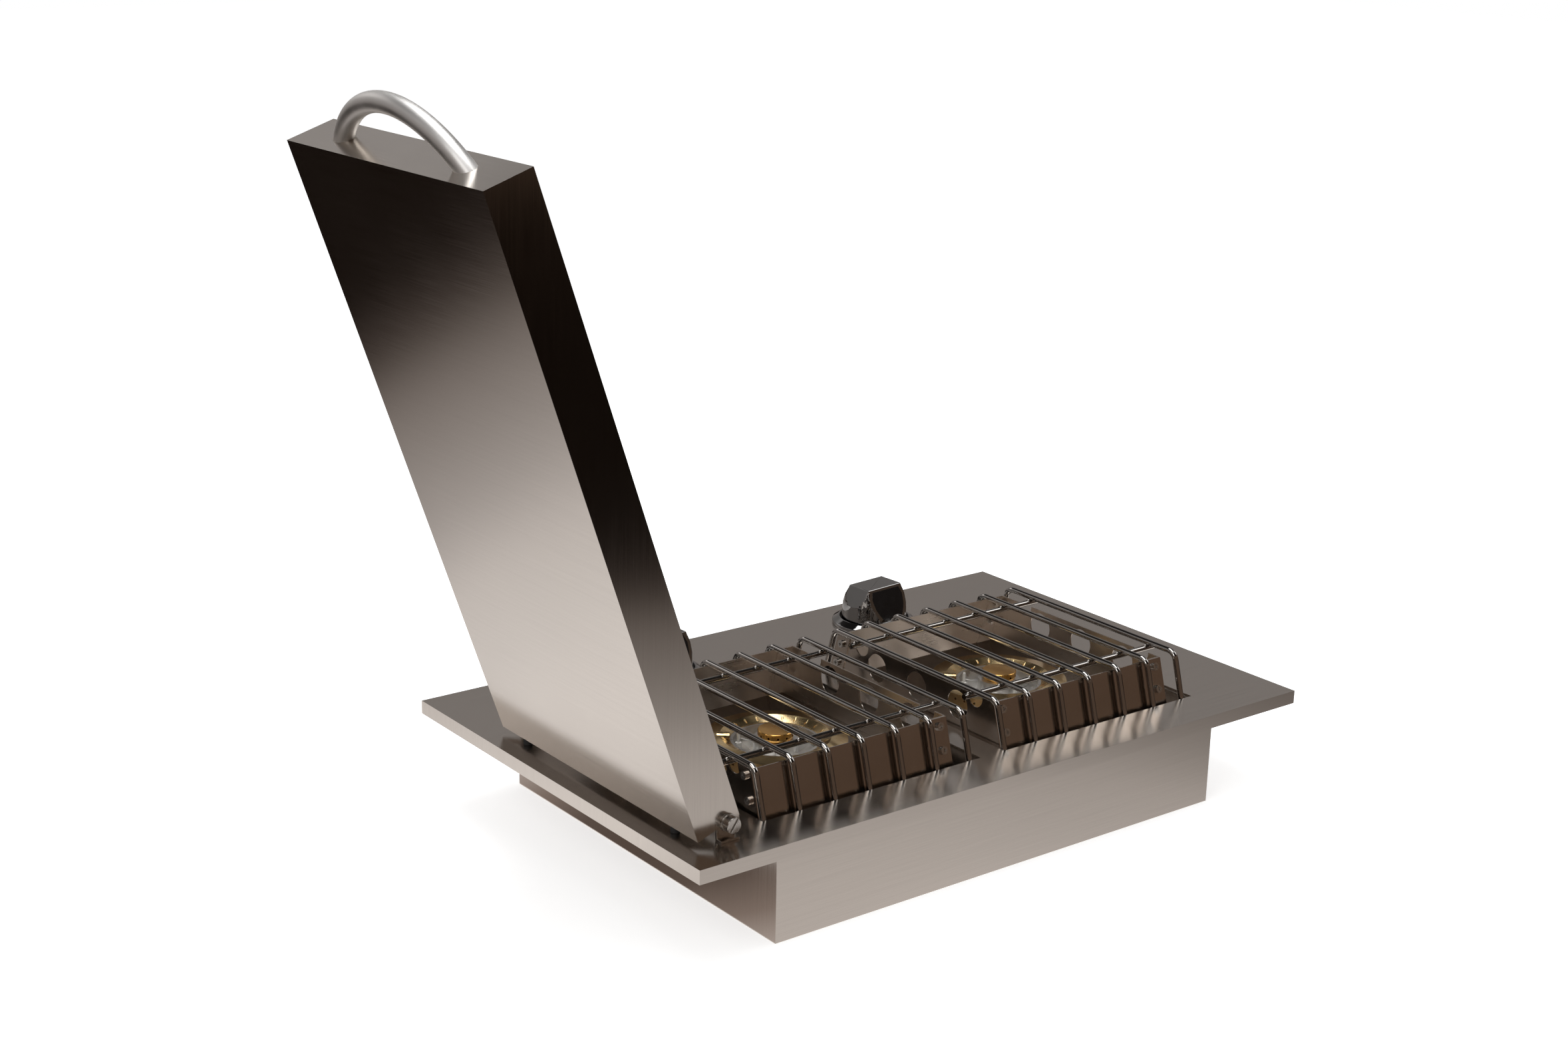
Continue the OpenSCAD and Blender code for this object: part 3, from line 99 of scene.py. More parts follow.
class SheetSettings(bpy.types.PropertyGroup):
    """Folded sheet: plate, box, lid and guards"""

    colour: bpy.props.FloatVectorProperty(
        name="Brushed colour", description="Colour of the brushed sheet",
        subtype="COLOR", size=3, min=0, max=1, default=(0.62, 0.575, 0.53))
    roughness: bpy.props.FloatProperty(
        name="Roughness", description="Softness of the brushed sheet's reflections",
        min=0.05, max=0.8, default=0.18)
    guard_colour: bpy.props.FloatVectorProperty(
        name="Guard colour", description="Colour of the polished guard sheet",
        subtype="COLOR", size=3, min=0, max=1, default=(0.56, 0.495, 0.44))
    guard_roughness: bpy.props.FloatProperty(
        name="Guard roughness", description="Softness of the guards' reflections outside",
        min=0.02, max=0.8, default=0.15)
    guard_inner_roughness: bpy.props.FloatProperty(
        name="Inner guard roughness", description="Softness of the guards' reflections inside",
        min=0.02, max=0.8, default=0.28)
    fold_radius: bpy.props.FloatProperty(
        name="Fold radius", description="Radius of the folded outer edges",
        subtype="DISTANCE", min=0.0001, max=0.002, default=0.0005)
    grain_pitch: bpy.props.FloatProperty(
        name="Grain pitch", description="Spacing of the brush lines",
        subtype="DISTANCE", min=0.0001, max=0.003, default=0.0004)


class WireSettings(bpy.types.PropertyGroup):
    """Rack rods and their welds"""

    colour: bpy.props.FloatVectorProperty(
        name="Rod colour", description="Colour of the polished rods",
        subtype="COLOR", size=3, min=0, max=1, default=(0.47, 0.45, 0.43))
    roughness: bpy.props.FloatProperty(
        name="Roughness", description="Softness of the rods' reflections",
        min=0.02, max=0.8, default=0.06)
    weld_radius: bpy.props.FloatProperty(
        name="Weld size", description="Radius of a weld bead where two rods cross",
        subtype="DISTANCE", min=0.0005, max=0.003, default=0.0017)


class BurnerSettings(bpy.types.PropertyGroup):
    """Brass and cast parts of the burners"""

    brass: bpy.props.FloatVectorProperty(
        name="Brass", description="Colour of the machined brass",
        subtype="COLOR", size=3, min=0, max=1, default=(0.83, 0.63, 0.34))
    cap_brass: bpy.props.FloatVectorProperty(
        name="Cap brass", description="Deeper colour of the burner caps' sides",
        subtype="COLOR", size=3, min=0, max=1, default=(0.74, 0.43, 0.13))
    cast: bpy.props.FloatVectorProperty(
        name="Cast alloy", description="Colour of the cast bowls",
        subtype="COLOR", size=3, min=0, max=1, default=(0.75, 0.735, 0.71))
    edge_radius: bpy.props.FloatProperty(
        name="Edge radius", description="Radius broken on the machined edges",
        subtype="DISTANCE", min=0.0001, max=0.001, default=0.0003)


class KnobSettings(bpy.types.PropertyGroup):
    """Control knobs and their bezels"""

    chrome: bpy.props.FloatVectorProperty(
        name="Chrome", description="Colour of the plated knobs",
        subtype="COLOR", size=3, min=0, max=1, default=(0.32, 0.317, 0.313))
    black: bpy.props.FloatVectorProperty(
        name="Face plates", description="Colour of the gloss face plates",
        subtype="COLOR", size=3, min=0, max=1, default=(0.004, 0.004, 0.0045))
    edge_radius: bpy.props.FloatProperty(
        name="Edge radius", description="Radius of the knob's outer edges",
        subtype="DISTANCE", min=0.0002, max=0.002, default=0.0009)


class StudioSettings(bpy.types.PropertyGroup):
    """Floor, lamps and camera"""

    floor: bpy.props.FloatVectorProperty(
        name="Floor", description="Colour of the floor",
        subtype="COLOR", size=3, min=0, max=1, default=(0.88, 0.88, 0.88))
    glow: bpy.props.FloatProperty(
        name="Background lift", description="White added to the floor where it is seen",
        min=0, max=1, default=0.62)
    lamp_power: bpy.props.FloatProperty(
        name="Lamp power", description="Power of the overhead soft lamp",
        subtype="POWER", min=0, max=500, default=26)
    lens: bpy.props.FloatProperty(
        name="Lens", description="Focal length on a 36 mm sensor", min=10, max=200, default=53.33)


# Handling of objects

def only(*objects):
    """Deselects everything, then selects these objects; the first is active."""
    if bpy.context.object and bpy.context.object.mode != "OBJECT":
        bpy.ops.object.mode_set(mode="OBJECT")
    for other in list(bpy.context.selected_objects):
        other.select_set(False)
    for obj in objects:
        obj.select_set(True)
    bpy.context.view_layer.objects.active = objects[0] if objects else None


def settle(obj, name, material, body, replaces=()):
    """Names a finished piece, puts its place in its mesh, and lets it ride on its body."""
    only(obj)
    bpy.ops.object.transform_apply(location=True, rotation=True, scale=True)
    obj.name = name
    obj.data.name = name
    obj.data.materials.clear()
    obj.data.materials.append(material)
    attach(obj, body)
    if replaces:
        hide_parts(*replaces)
    return obj


def span(node):
    """Lowest and highest corner of a CAD node."""
    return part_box(node)


def merged_copy(node):
    """A copy of a CAD node's mesh, its loose triangles joined and its flat faces made whole."""
    mesh = frame["nodes"][node].data.copy()
    obj = bpy.data.objects.new(node + "_soft", mesh)
    bpy.context.scene.collection.objects.link(obj)
    only(obj)
    if mesh.has_custom_normals:
        bpy.ops.mesh.customdata_custom_splitnormals_clear()
    bpy.ops.object.mode_set(mode="EDIT")
    bpy.ops.mesh.select_all(action="SELECT")
    make_whole(MERGE_GAP)
    bpy.ops.object.mode_set(mode="OBJECT")
    return obj


def make_whole(gap):
    """Joins selected points that are closer than the gap, and the flat faces between them."""
    bpy.ops.mesh.remove_doubles(threshold=gap)
    bpy.ops.mesh.dissolve_limited(angle_limit=math.radians(FLAT_ANGLE))


def bevelled(obj, radius, steps, sharp):
    """Rounds the edges that turn by more than an angle in degrees."""
    bevel = obj.modifiers.new("Bevel", "BEVEL")
    bevel.limit_method = "ANGLE"
    bevel.angle_limit = math.radians(sharp)
    bevel.width = radius
    bevel.segments = steps
    bevel.use_clamp_overlap = True
    bpy.ops.object.modifier_apply(modifier=bevel.name)


def smoothed(obj, sharp, face_weight):
    """Smooth shading up to an angle in degrees, in which the larger faces keep their direction."""
    bpy.ops.object.shade_smooth_by_angle(angle=math.radians(sharp))
    level = obj.modifiers.new("Weighted", "WEIGHTED_NORMAL")
    level.keep_sharp = True
    level.weight = face_weight
    bpy.ops.object.modifier_apply(modifier=level.name)


def softened(node, look, radius, steps=2, sharp=35.0):
    """A bevelled copy of a CAD node that stands for it."""
    obj = merged_copy(node)
    bevelled(obj, radius, steps, sharp)
    smoothed(obj, sharp + SMOOTH_MARGIN, face_weight=80)
    return settle(obj, node + "_dressed", finish(look), BODY_OF[node], (node,))


def folded(node, look, radius, grain):
    """A softened sheet whose brush lines run along its grain."""
    obj = softened(node, look, radius)
    lay_grain(obj, grain)
    return obj


def outer_edges(mesh, floor):
    """Numbers of the sharp edges above a height where two faces on the outside of the grip meet."""
    grip = [vertex.co for vertex in mesh.vertices if vertex.co.z > floor]
    faces_of = {}
    for polygon in mesh.polygons:
        corner = mesh.vertices[polygon.vertices[0]].co
        beyond = max(polygon.normal.dot(point - corner) for point in grip)
        for key in polygon.edge_keys:
            faces_of.setdefault(key, []).append((polygon.normal, beyond))
    chosen = []
    for edge in mesh.edges:
        faces = faces_of.get(edge.key, [])
        raised = all(mesh.vertices[index].co.z > floor for index in edge.vertices)
        outside = all(beyond < OUTER_GAP for _, beyond in faces)
        if raised and outside and len(faces) == 2:
            if faces[0][0].angle(faces[1][0]) > math.radians(OUTER_ANGLE):
                chosen.append(edge.index)
    return chosen


def rounded_grip(node, look, radius, fine_radius):
    """A copy of a knob with the outermost edges of its grip rounded wide and its other edges fine."""
    obj = merged_copy(node)
    low, high = span(node)
    wide = outer_edges(obj.data, low[2] + SKIRT_SHARE * (high[2] - low[2]))
    only(obj)
    bpy.ops.object.mode_set(mode="EDIT")
    bpy.ops.mesh.select_mode(type="EDGE")
    bpy.ops.mesh.select_all(action="DESELECT")
    bpy.ops.object.mode_set(mode="OBJECT")
    for index in wide:
        obj.data.edges[index].select = True
    bpy.ops.object.mode_set(mode="EDIT")
    bpy.ops.mesh.bevel(offset=radius, segments=4, profile=0.5, affect="EDGES", clamp_overlap=False)
    bpy.ops.mesh.select_all(action="SELECT")
    make_whole(GRIP_MERGE_GAP)
    bpy.ops.object.mode_set(mode="OBJECT")
    bevelled(obj, fine_radius, steps=2, sharp=40)
    smoothed(obj, sharp=40, face_weight=50)
    return settle(obj, node + "_dressed", finish(look), BODY_OF[node], (node,))


def lay_grain(obj, grain):
    """Writes the map that brushed metal follows: U runs across the brush lines, V along them.

    Faces that the grain meets nearly end on take the spare direction.
    """
    mesh = obj.data
    layer = mesh.uv_layers.new(name="grain")
    grain = Vector(grain)
    spare = Vector((0, 0, 1))
    end_on = 0.25
    for polygon in mesh.polygons:
        normal = polygon.normal
        along = grain - normal * normal.dot(grain)
        if along.length < end_on:
            along = spare - normal * normal.dot(spare)
        along.normalize()
        across = normal.cross(along)
        for index in polygon.loop_indices:
            point = mesh.vertices[mesh.loops[index].vertex_index].co
            layer.data[index].uv = (point.dot(across), point.dot(along))


# Finishes

# The Mix node has sockets of one name for each kind of value, so its colour sockets go by number
MIX_FIRST = 6
MIX_SECOND = 7
MIX_RESULT = 2

# Shares of red, green and blue that tarnish leaves
TARNISH = (0.78, 0.62, 0.45)

BRIGHT_STEEL = (0.70, 0.685, 0.665)
HINGE_STEEL = (0.62, 0.595, 0.565)
TURNED_STEEL = (0.6, 0.595, 0.59)
BLASTED_STEEL = (0.86, 0.845, 0.825)
RUBBER_BLACK = (0.018, 0.018, 0.019)
GLAZE_WHITE = (0.86, 0.84, 0.79)
SOOT_BROWN = (0.35, 0.31, 0.26)


def shade(colour, factor):
    """A colour made darker or lighter."""
    return tuple(max(0.0, min(1.0, channel * factor)) for channel in colour)


class Recipe:
    """A short way to write a material's nodes."""

    def __init__(self, name, colour, roughness, metallic=1.0):
        self.material = bpy.data.materials.new(name)
        self.material.use_nodes = True
        self.material.diffuse_color = (*colour, 1)
        self.tree = self.material.node_tree
        self.shader = self.tree.nodes["Principled BSDF"]
        self.set("Base Color", (*colour, 1))
        self.set("Metallic", metallic)
        self.set("Roughness", roughness)

    def set(self, socket, value):
        self.shader.inputs[socket].default_value = value

    def node(self, kind, **values):
        made = self.tree.nodes.new(kind)
        for key, value in values.items():
            setattr(made, key, value)
        return made

    def join(self, source, target):
        self.tree.links.new(source, target)

    def feed(self, output, socket):
        self.join(output, self.shader.inputs[socket])

    def stretched(self, source, scale):
        mapping = self.node("ShaderNodeMapping")
        mapping.inputs["Scale"].default_value = scale
        self.join(source, mapping.inputs["Vector"])
        return mapping.outputs["Vector"]

    def place(self, scale=(1, 1, 1)):
        """The piece's own coordinates, stretched by the given scale."""
        return self.stretched(self.node("ShaderNodeTexCoord").outputs["Object"], scale)

    def grain_map(self, scale):
        """The piece's own brush map; the scale says how fine a pattern is across and along it."""
        return self.stretched(self.node("ShaderNodeUVMap", uv_map="grain").outputs["UV"], scale)

    def along_grain(self):
        """Draws the reflections out across the brush lines."""
        made = self.node("ShaderNodeTangent", direction_type="UV_MAP", uv_map="grain")
        self.feed(made.outputs["Tangent"], "Tangent")

    def noise(self, vector, scale, detail, rough):
        made = self.node("ShaderNodeTexNoise")
        made.inputs["Scale"].default_value = scale
        made.inputs["Detail"].default_value = detail
        made.inputs["Roughness"].default_value = rough
        self.join(vector, made.inputs["Vector"])
        return made.outputs["Fac"]

    def spread(self, value, low, high, start=0.3, end=0.7):
        """Turns a pattern's middle range into a range of numbers."""
        made = self.node("ShaderNodeMapRange")
        made.inputs["From Min"].default_value = start
        made.inputs["From Max"].default_value = end
        made.inputs["To Min"].default_value = low
        made.inputs["To Max"].default_value = high
        self.join(value, made.inputs["Value"])
        return made.outputs["Result"]

    def add(self, first, second):
        made = self.node("ShaderNodeMath", operation="ADD")
        self.join(first, made.inputs[0])
        self.join(second, made.inputs[1])
        return made.outputs["Value"]

    def tint(self, factor, first, second):
        """A base colour that drifts between two colours."""
        made = self.node("ShaderNodeMix", data_type="RGBA")
        self.join(factor, made.inputs["Factor"])
        made.inputs[MIX_FIRST].default_value = (*first, 1)
        made.inputs[MIX_SECOND].default_value = (*second, 1)
        self.feed(made.outputs[MIX_RESULT], "Base Color")

    def polish(self, pattern, roughness, less, more):
        """A roughness that drifts below and above its middle."""
        self.feed(self.spread(pattern, roughness - less, roughness + more), "Roughness")

    def relief(self, height, strength, depth):
        """A bump of the given depth."""
        made = self.node("ShaderNodeBump")
        made.inputs["Strength"].default_value = strength
        made.inputs["Distance"].default_value = depth
        self.join(height, made.inputs["Height"])
        self.feed(made.outputs["Normal"], "Normal")


def brushed_sheet_finish(name, colour, roughness, pitch):
    """Brushed stainless sheet: long fine lines, faint handling marks."""
    made = Recipe(name, colour, roughness)
    made.set("Anisotropic", 0.72)
    made.along_grain()
    lines = made.noise(made.grain_map((0.6 / pitch, 14, 1)), scale=1.0, detail=3.0, rough=0.6)
    broad = made.noise(made.grain_map((0.12 / pitch, 3.0, 1)), scale=1.0, detail=3.0, rough=0.5)
    marks = made.noise(made.place(), scale=7.0, detail=4.0, rough=0.6)
    worn = made.spread(marks, roughness - 0.015, roughness + 0.02)
    made.feed(made.add(made.spread(lines, -0.03, 0.03), worn), "Roughness")
    tone = made.add(made.spread(lines, 0.25, 0.75), made.spread(broad, -0.1, 0.1))
    made.tint(tone, shade(colour, 0.93), shade(colour, 1.06))
    made.relief(lines, strength=0.10, depth=0.03 * MM)
    return made.material


def polished_sheet_finish(name, colour, roughness, pitch):
    """Polished sheet of the guards: faint brush lines and a slightly uneven tone."""
    made = Recipe(name, colour, roughness)
    made.set("Anisotropic", 0.6)
    made.along_grain()
    lines = made.noise(made.grain_map((0.25 / pitch, 14, 1)), scale=1.0, detail=3.0, rough=0.6)
    marks = made.noise(made.place(), scale=18.0, detail=4.0, rough=0.6)
    worn = made.spread(marks, roughness - 0.01, roughness + 0.015)
    made.feed(made.add(made.spread(lines, -0.008, 0.008), worn), "Roughness")
    made.tint(made.spread(marks, 0.1, 0.9), shade(colour, 0.94), shade(colour, 1.05))
    made.relief(lines, strength=0.015, depth=0.03 * MM)
    return made.material


def rod_finish(name, colour, roughness, stretch=(1, 1, 1)):
    """Polished wire with drawing marks."""
    made = Recipe(name, colour, roughness)
    lines = made.noise(made.place(stretch), scale=900.0, detail=2.0, rough=0.5)
    marks = made.noise(made.place(), scale=60.0, detail=3.0, rough=0.55)
    made.polish(marks, roughness, less=0.02, more=0.03)
    made.tint(made.spread(marks, 0.2, 0.8), shade(colour, 0.94), shade(colour, 1.04))
    made.relief(lines, strength=0.03, depth=0.01 * MM)
    return made.material


def machined_brass_finish(name, colour, roughness, tarnish=0.35):
    """Turned brass with fine tool marks and a little darker tarnish."""
    made = Recipe(name, colour, roughness)
    tool_marks = made.noise(made.place(), scale=900.0, detail=2.0, rough=0.5)
    marks = made.noise(made.place(), scale=55.0, detail=4.0, rough=0.6)
    stain = tuple(channel * share for channel, share in zip(colour, TARNISH))
    made.tint(made.spread(marks, 0.0, tarnish, start=0.42, end=0.72), colour, stain)
    made.polish(marks, roughness, less=0.05, more=0.09)
    made.relief(tool_marks, strength=0.12, depth=0.03 * MM)
    return made.material


def cast_alloy_finish(name, colour, roughness):
    """Machined casting: bright, with small pits."""
    made = Recipe(name, colour, roughness)
    pits = made.noise(made.place(), scale=1400.0, detail=3.0, rough=0.6)
    marks = made.noise(made.place(), scale=80.0, detail=3.0, rough=0.6)
    made.polish(marks, roughness, less=0.06, more=0.1)
    made.tint(made.spread(marks, 0.0, 1.0), shade(colour, 0.9), shade(colour, 1.07))
    made.relief(pits, strength=0.25, depth=0.06 * MM)
    return made.material


def plated_finish(name, colour, roughness):
    """Mirror plating with faint wipe marks."""
    made = Recipe(name, colour, roughness)
    marks = made.noise(made.place(), scale=45.0, detail=4.0, rough=0.6)
    made.polish(marks, roughness, less=0.015, more=0.04)
    made.tint(made.spread(marks, 0.0, 1.0), shade(colour, 0.97), shade(colour, 1.03))
    return made.material


def fastener_finish(name, colour, roughness):
    """Bright screws with slight tumbling marks."""
    made = Recipe(name, colour, roughness)
    marks = made.noise(made.place(), scale=300.0, detail=4.0, rough=0.6)
    made.polish(marks, roughness, less=0.05, more=0.1)
    made.tint(made.spread(marks, 0.0, 1.0), shade(colour, 0.88), shade(colour, 1.04))
    made.relief(marks, strength=0.1, depth=0.05 * MM)
    return made.material


def gloss_black_finish(name, colour, roughness):
    """Gloss black moulding with a clear skin."""
    made = Recipe(name, colour, roughness, metallic=0.0)
    made.set("Specular IOR Level", 0.3)
    made.set("Coat Weight", 0.3)
    made.set("Coat Roughness", 0.04)
    marks = made.noise(made.place(), scale=90.0, detail=3.0, rough=0.5)
    made.polish(marks, roughness, less=0.03, more=0.05)
    made.tint(made.spread(marks, 0.0, 1.0), colour, shade(colour, 1.6))
    return made.material


def satin_finish(name, colour, roughness):
    """Blasted satin bar: very fine even grit."""
    made = Recipe(name, colour, roughness)
    grit = made.noise(made.place(), scale=2600.0, detail=2.0, rough=0.6)
    marks = made.noise(made.place(), scale=30.0, detail=4.0, rough=0.6)
    made.polish(marks, roughness, less=0.04, more=0.06)
    made.tint(made.spread(marks, 0.0, 1.0), shade(colour, 0.95), shade(colour, 1.04))
    made.relief(grit, strength=0.16, depth=0.05 * MM)
    return made.material


def rubber_finish(name, colour, roughness):
    """Moulded black rubber with a matt pebble."""
    made = Recipe(name, colour, roughness, metallic=0.0)
    pebble = made.noise(made.place(), scale=1600.0, detail=3.0, rough=0.6)
    made.polish(pebble, roughness, less=0.07, more=0.13)
    made.tint(made.spread(pebble, 0.0, 1.0), colour, shade(colour, 1.5))
    made.relief(pebble, strength=0.3, depth=0.08 * MM)
    return made.material


def glazed_finish(name, colour, roughness):
    """White glazed insulator with a trace of soot."""
    made = Recipe(name, colour, roughness, metallic=0.0)
    made.set("Coat Weight", 0.4)
    soot = made.noise(made.place(), scale=120.0, detail=4.0, rough=0.6)
    made.polish(soot, roughness, less=0.05, more=0.1)
    made.tint(made.spread(soot, 0.0, 0.5, start=0.5, end=0.8), colour, SOOT_BROWN)
    return made.material


FINISHES = {}


def finish(name):
    """The finish of that name, made once from the scene's settings."""
    if name in FINISHES:
        return FINISHES[name]
    scene = bpy.context.scene
    sheet = scene.hob_sheet
    wire = scene.hob_wire
    burner = scene.hob_burner
    knob = scene.hob_knob
    pitch = sheet.grain_pitch
    # The guards' faces that look at the burner take the guard colour made lighter, which is painted light
    lit_inner_guard = shade(sheet.guard_colour, 1.12)

    # Each row holds a maker, a colour, a roughness, and what else that maker takes
    rows = {
        "brushed_sheet": (brushed_sheet_finish, sheet.colour, sheet.roughness, pitch),
        "pan_sheet": (brushed_sheet_finish, shade(sheet.colour, 0.9), sheet.roughness + 0.05, pitch),
        "guard_sheet": (polished_sheet_finish, sheet.guard_colour, sheet.guard_roughness, pitch),
        "guard_inner": (polished_sheet_finish, lit_inner_guard, sheet.guard_inner_roughness, pitch),
        "rod_across": (rod_finish, wire.colour, wire.roughness, (1, 0.05, 1)),
        "weld_bead": (fastener_finish, wire.colour, 0.14),
        "brass_turned": (machined_brass_finish, burner.brass, 0.17),
        "brass_cap": (machined_brass_finish, burner.cap_brass, 0.2, 0.5),
        "brass_body": (machined_brass_finish, shade(burner.brass, 0.94), 0.28),
        "cast_alloy": (cast_alloy_finish, burner.cast, 0.3),
        "drawn_tube": (rod_finish, shade(burner.cast, 1.05), 0.26),
        "knob_plating": (plated_finish, knob.chrome, 0.035),
        "face_black": (gloss_black_finish, knob.black, 0.12),
        "fastener": (fastener_finish, BRIGHT_STEEL, 0.18),
        "hinge_steel": (fastener_finish, HINGE_STEEL, 0.24),
        "turned_steel": (fastener_finish, TURNED_STEEL, 0.27),
        "satin_bar": (satin_finish, BLASTED_STEEL, 0.45),
        "rubber": (rubber_finish, RUBBER_BLACK, 0.62),
        "glazed": (glazed_finish, GLAZE_WHITE, 0.2),
    }
    maker, colour, *rest = rows[name]
    FINISHES[name] = maker(name, tuple(colour), *rest)
    return FINISHES[name]


def dress(look, *nodes):
    """Gives carried-over CAD nodes a finish."""
    for node in nodes:
        mesh = frame["nodes"][node].data
        mesh.materials.clear()
        mesh.materials.append(finish(look))


# Operators: one for each piece or group of like pieces

class HOB_OT_plate(bpy.types.Operator):
    """Folded top plate with its soft edges, and the rubber stops under the lid"""

    bl_idname = "hob.plate"
    bl_label = "Top plate"

    def execute(self, context):
        folded("top_plate", "brushed_sheet", context.scene.hob_sheet.fold_radius, LENGTHWISE)
        softened("lid_stops", "rubber", 0.5 * MM, steps=3)
        return {"FINISHED"}


class HOB_OT_box(bpy.types.Operator):
    """Drop box and the pans under the burners"""

    bl_idname = "hob.box"
    bl_label = "Drop box"

    def execute(self, context):
        fold = context.scene.hob_sheet.fold_radius
        folded("drop_box", "brushed_sheet", fold, LENGTHWISE)
        folded("drip_pan", "pan_sheet", fold * PAN_FOLD, LENGTHWISE)
        for side in SIDES:
            folded("burner_stand_" + side, "pan_sheet", fold * PAN_FOLD, LENGTHWISE)
        return {"FINISHED"}


class HOB_OT_lid(bpy.types.Operator):
    """Lid shell, its handle and the handle's screws"""

    bl_idname = "hob.lid"
    bl_label = "Lid"

    def execute(self, context):
        folded("lid_shell", "brushed_sheet", context.scene.hob_sheet.fold_radius, CROSSWISE)
        softened("lid_handle", "satin_bar", 0.4 * MM, sharp=40)
        softened("handle_screws", "fastener", 0.2 * MM)
        return {"FINISHED"}


class HOB_OT_hinges(bpy.types.Operator):
    """Hinge brackets, slotted screws, washers and nuts"""

    bl_idname = "hob.hinges"
    bl_label = "Hinges"

    def execute(self, context):
        fold = context.scene.hob_sheet.fold_radius
        folded("hinge_brackets", "brushed_sheet", fold * BRACKET_FOLD, LENGTHWISE)
        softened("pivot_screws", "hinge_steel", 0.5 * MM, steps=3)
        softened("pivot_washers", "hinge_steel", 0.2 * MM)
        softened("pivot_nuts", "hinge_steel", 0.3 * MM)
        return {"FINISHED"}


class HOB_OT_guards(bpy.types.Operator):
    """Polished wind guards round each burner, with their screws"""

    bl_idname = "hob.guards"
    bl_label = "Wind guards"

    def execute(self, context):
        fold = context.scene.hob_sheet.fold_radius
        walls = {"near": LENGTHWISE, "far": LENGTHWISE, "left": CROSSWISE, "right": CROSSWISE}
        for side in SIDES:
            for wall, grain in walls.items():
                node = f"guard_{wall}_{side}"
                guard = folded(node, "guard_sheet", fold * GUARD_FOLD, grain)
                self.dull_and_lighten_inside(guard, side)
            softened("guard_screws_" + side, "fastener", 0.25 * MM)
        return {"FINISHED"}

    def dull_and_lighten_inside(self, guard, side):
        """The upright faces that look at the burner are heat dulled, and their colour is lightened as
        painted light.
        """
        low, high = span("burner_ring_" + side)
        middle = (Vector(low) + Vector(high)) / 2
        guard.data.materials.append(finish("guard_inner"))
        for polygon in guard.data.polygons:
            inward = (middle - polygon.center) * Vector((1, 1, 0))
            upright = abs(polygon.normal.z) < 0.5
            if upright and polygon.normal.dot(inward) > 0:
                polygon.material_index = 1


class HOB_OT_racks(bpy.types.Operator):
    """Wire racks that lift out"""

    bl_idname = "hob.racks"
    bl_label = "Racks"

    def execute(self, context):
        for side in SIDES:
            softened("rack_" + side, "rod_across", 0.3 * MM, sharp=50)
            self.welds(context, side)
        return {"FINISHED"}

    def welds(self, context, side):
        """A small bead where each rod meets a cross wire."""
        radius = context.scene.hob_wire.weld_radius
        low, high = span("rack_" + side)
        middle = [(low[axis] + high[axis]) / 2 for axis in range(2)]
        beads = []
        for row in (-1, 1):
            for rod in range(-3, 4):
                only()
                bpy.ops.mesh.primitive_ico_sphere_add(subdivisions=2, radius=radius, location=(
                    middle[0] + rod * ROD_PITCH - ROD_RADIUS - BEAD_CLEAR * radius,
                    middle[1] + row * WIRE_OFFSET,
                    high[2] - 2 * ROD_RADIUS - BEAD_SINK,
                ))
                bead = context.object
                bead.scale = BEAD_SHAPE
                bpy.ops.object.shade_smooth()
                beads.append(bead)
        only(*beads)
        bpy.ops.object.join()
        joined = context.object
        settle(joined, "weld_beads_" + side, finish("weld_bead"), BODY_OF["rack_" + side])


class HOB_OT_burners(bpy.types.Operator):
    """Brass rings, caps and bridges, cast bowls and the igniters"""

    bl_idname = "hob.burners"
    bl_label = "Burners"

    def execute(self, context):
        edge = context.scene.hob_burner.edge_radius
        for side in SIDES:
            softened("burner_ring_" + side, "brass_turned", edge, sharp=28)
            softened("burner_cap_" + side, "brass_cap", edge)
            softened("flame_bridge_" + side, "brass_turned", edge)
            softened("burner_bowl_" + side, "cast_alloy", edge)
            softened("igniter_" + side, "glazed", 0.3 * MM)
        return {"FINISHED"}


class HOB_OT_knobs(bpy.types.Operator):
    """Plated knobs with black face plates, bezels and what lies under them"""

    bl_idname = "hob.knobs"
    bl_label = "Knobs"

    def execute(self, context):
        edge = context.scene.hob_knob.edge_radius
        inlay_edge = edge * 0.4
        for side in SIDES:
            rounded_grip("knob_" + side, "knob_plating", edge, 0.3 * MM)
            softened("knob_inlays_" + side, "face_black", inlay_edge, sharp=40)
            softened("knob_bezel_" + side, "knob_plating", 0.6 * MM, steps=3, sharp=25)
            softened("shield_disc_" + side, "face_black", 0.3 * MM)
            dress("turned_steel", "spindle_" + side, "spring_seat_" + side, "return_spring_" + side)
        softened("valve_screws", "fastener", 0.3 * MM)
        return {"FINISHED"}


class HOB_OT_gas_parts(bpy.types.Operator):
    """Valves, manifold, feed pipes, injectors and the inlet"""

    bl_idname = "hob.gas_parts"
    bl_label = "Gas parts"

    def execute(self, context):
        softened("manifold", "drawn_tube", 0.3 * MM)
        softened("inlet_fitting", "brass_body", 0.4 * MM)
        softened("inlet_nut", "brass_body", 0.4 * MM)
        softened("jets", "brass_turned", 0.2 * MM)
        for side in SIDES:
            softened("gas_valve_" + side, "brass_body", 0.5 * MM)
            softened("injector_post_" + side, "brass_body", 0.4 * MM)
            softened("feed_pipe_" + side, "drawn_tube", 0.2 * MM)
        return {"FINISHED"}


# Studio

SEEN_RAYS = ("Is Camera Ray", "Is Glossy Ray", "Is Transmission Ray")
FLOOR_SIZE = 16
ROOM_RADIUS = 4
ROOM_HEIGHT = 4.4
FILL_LEVEL = 0.45

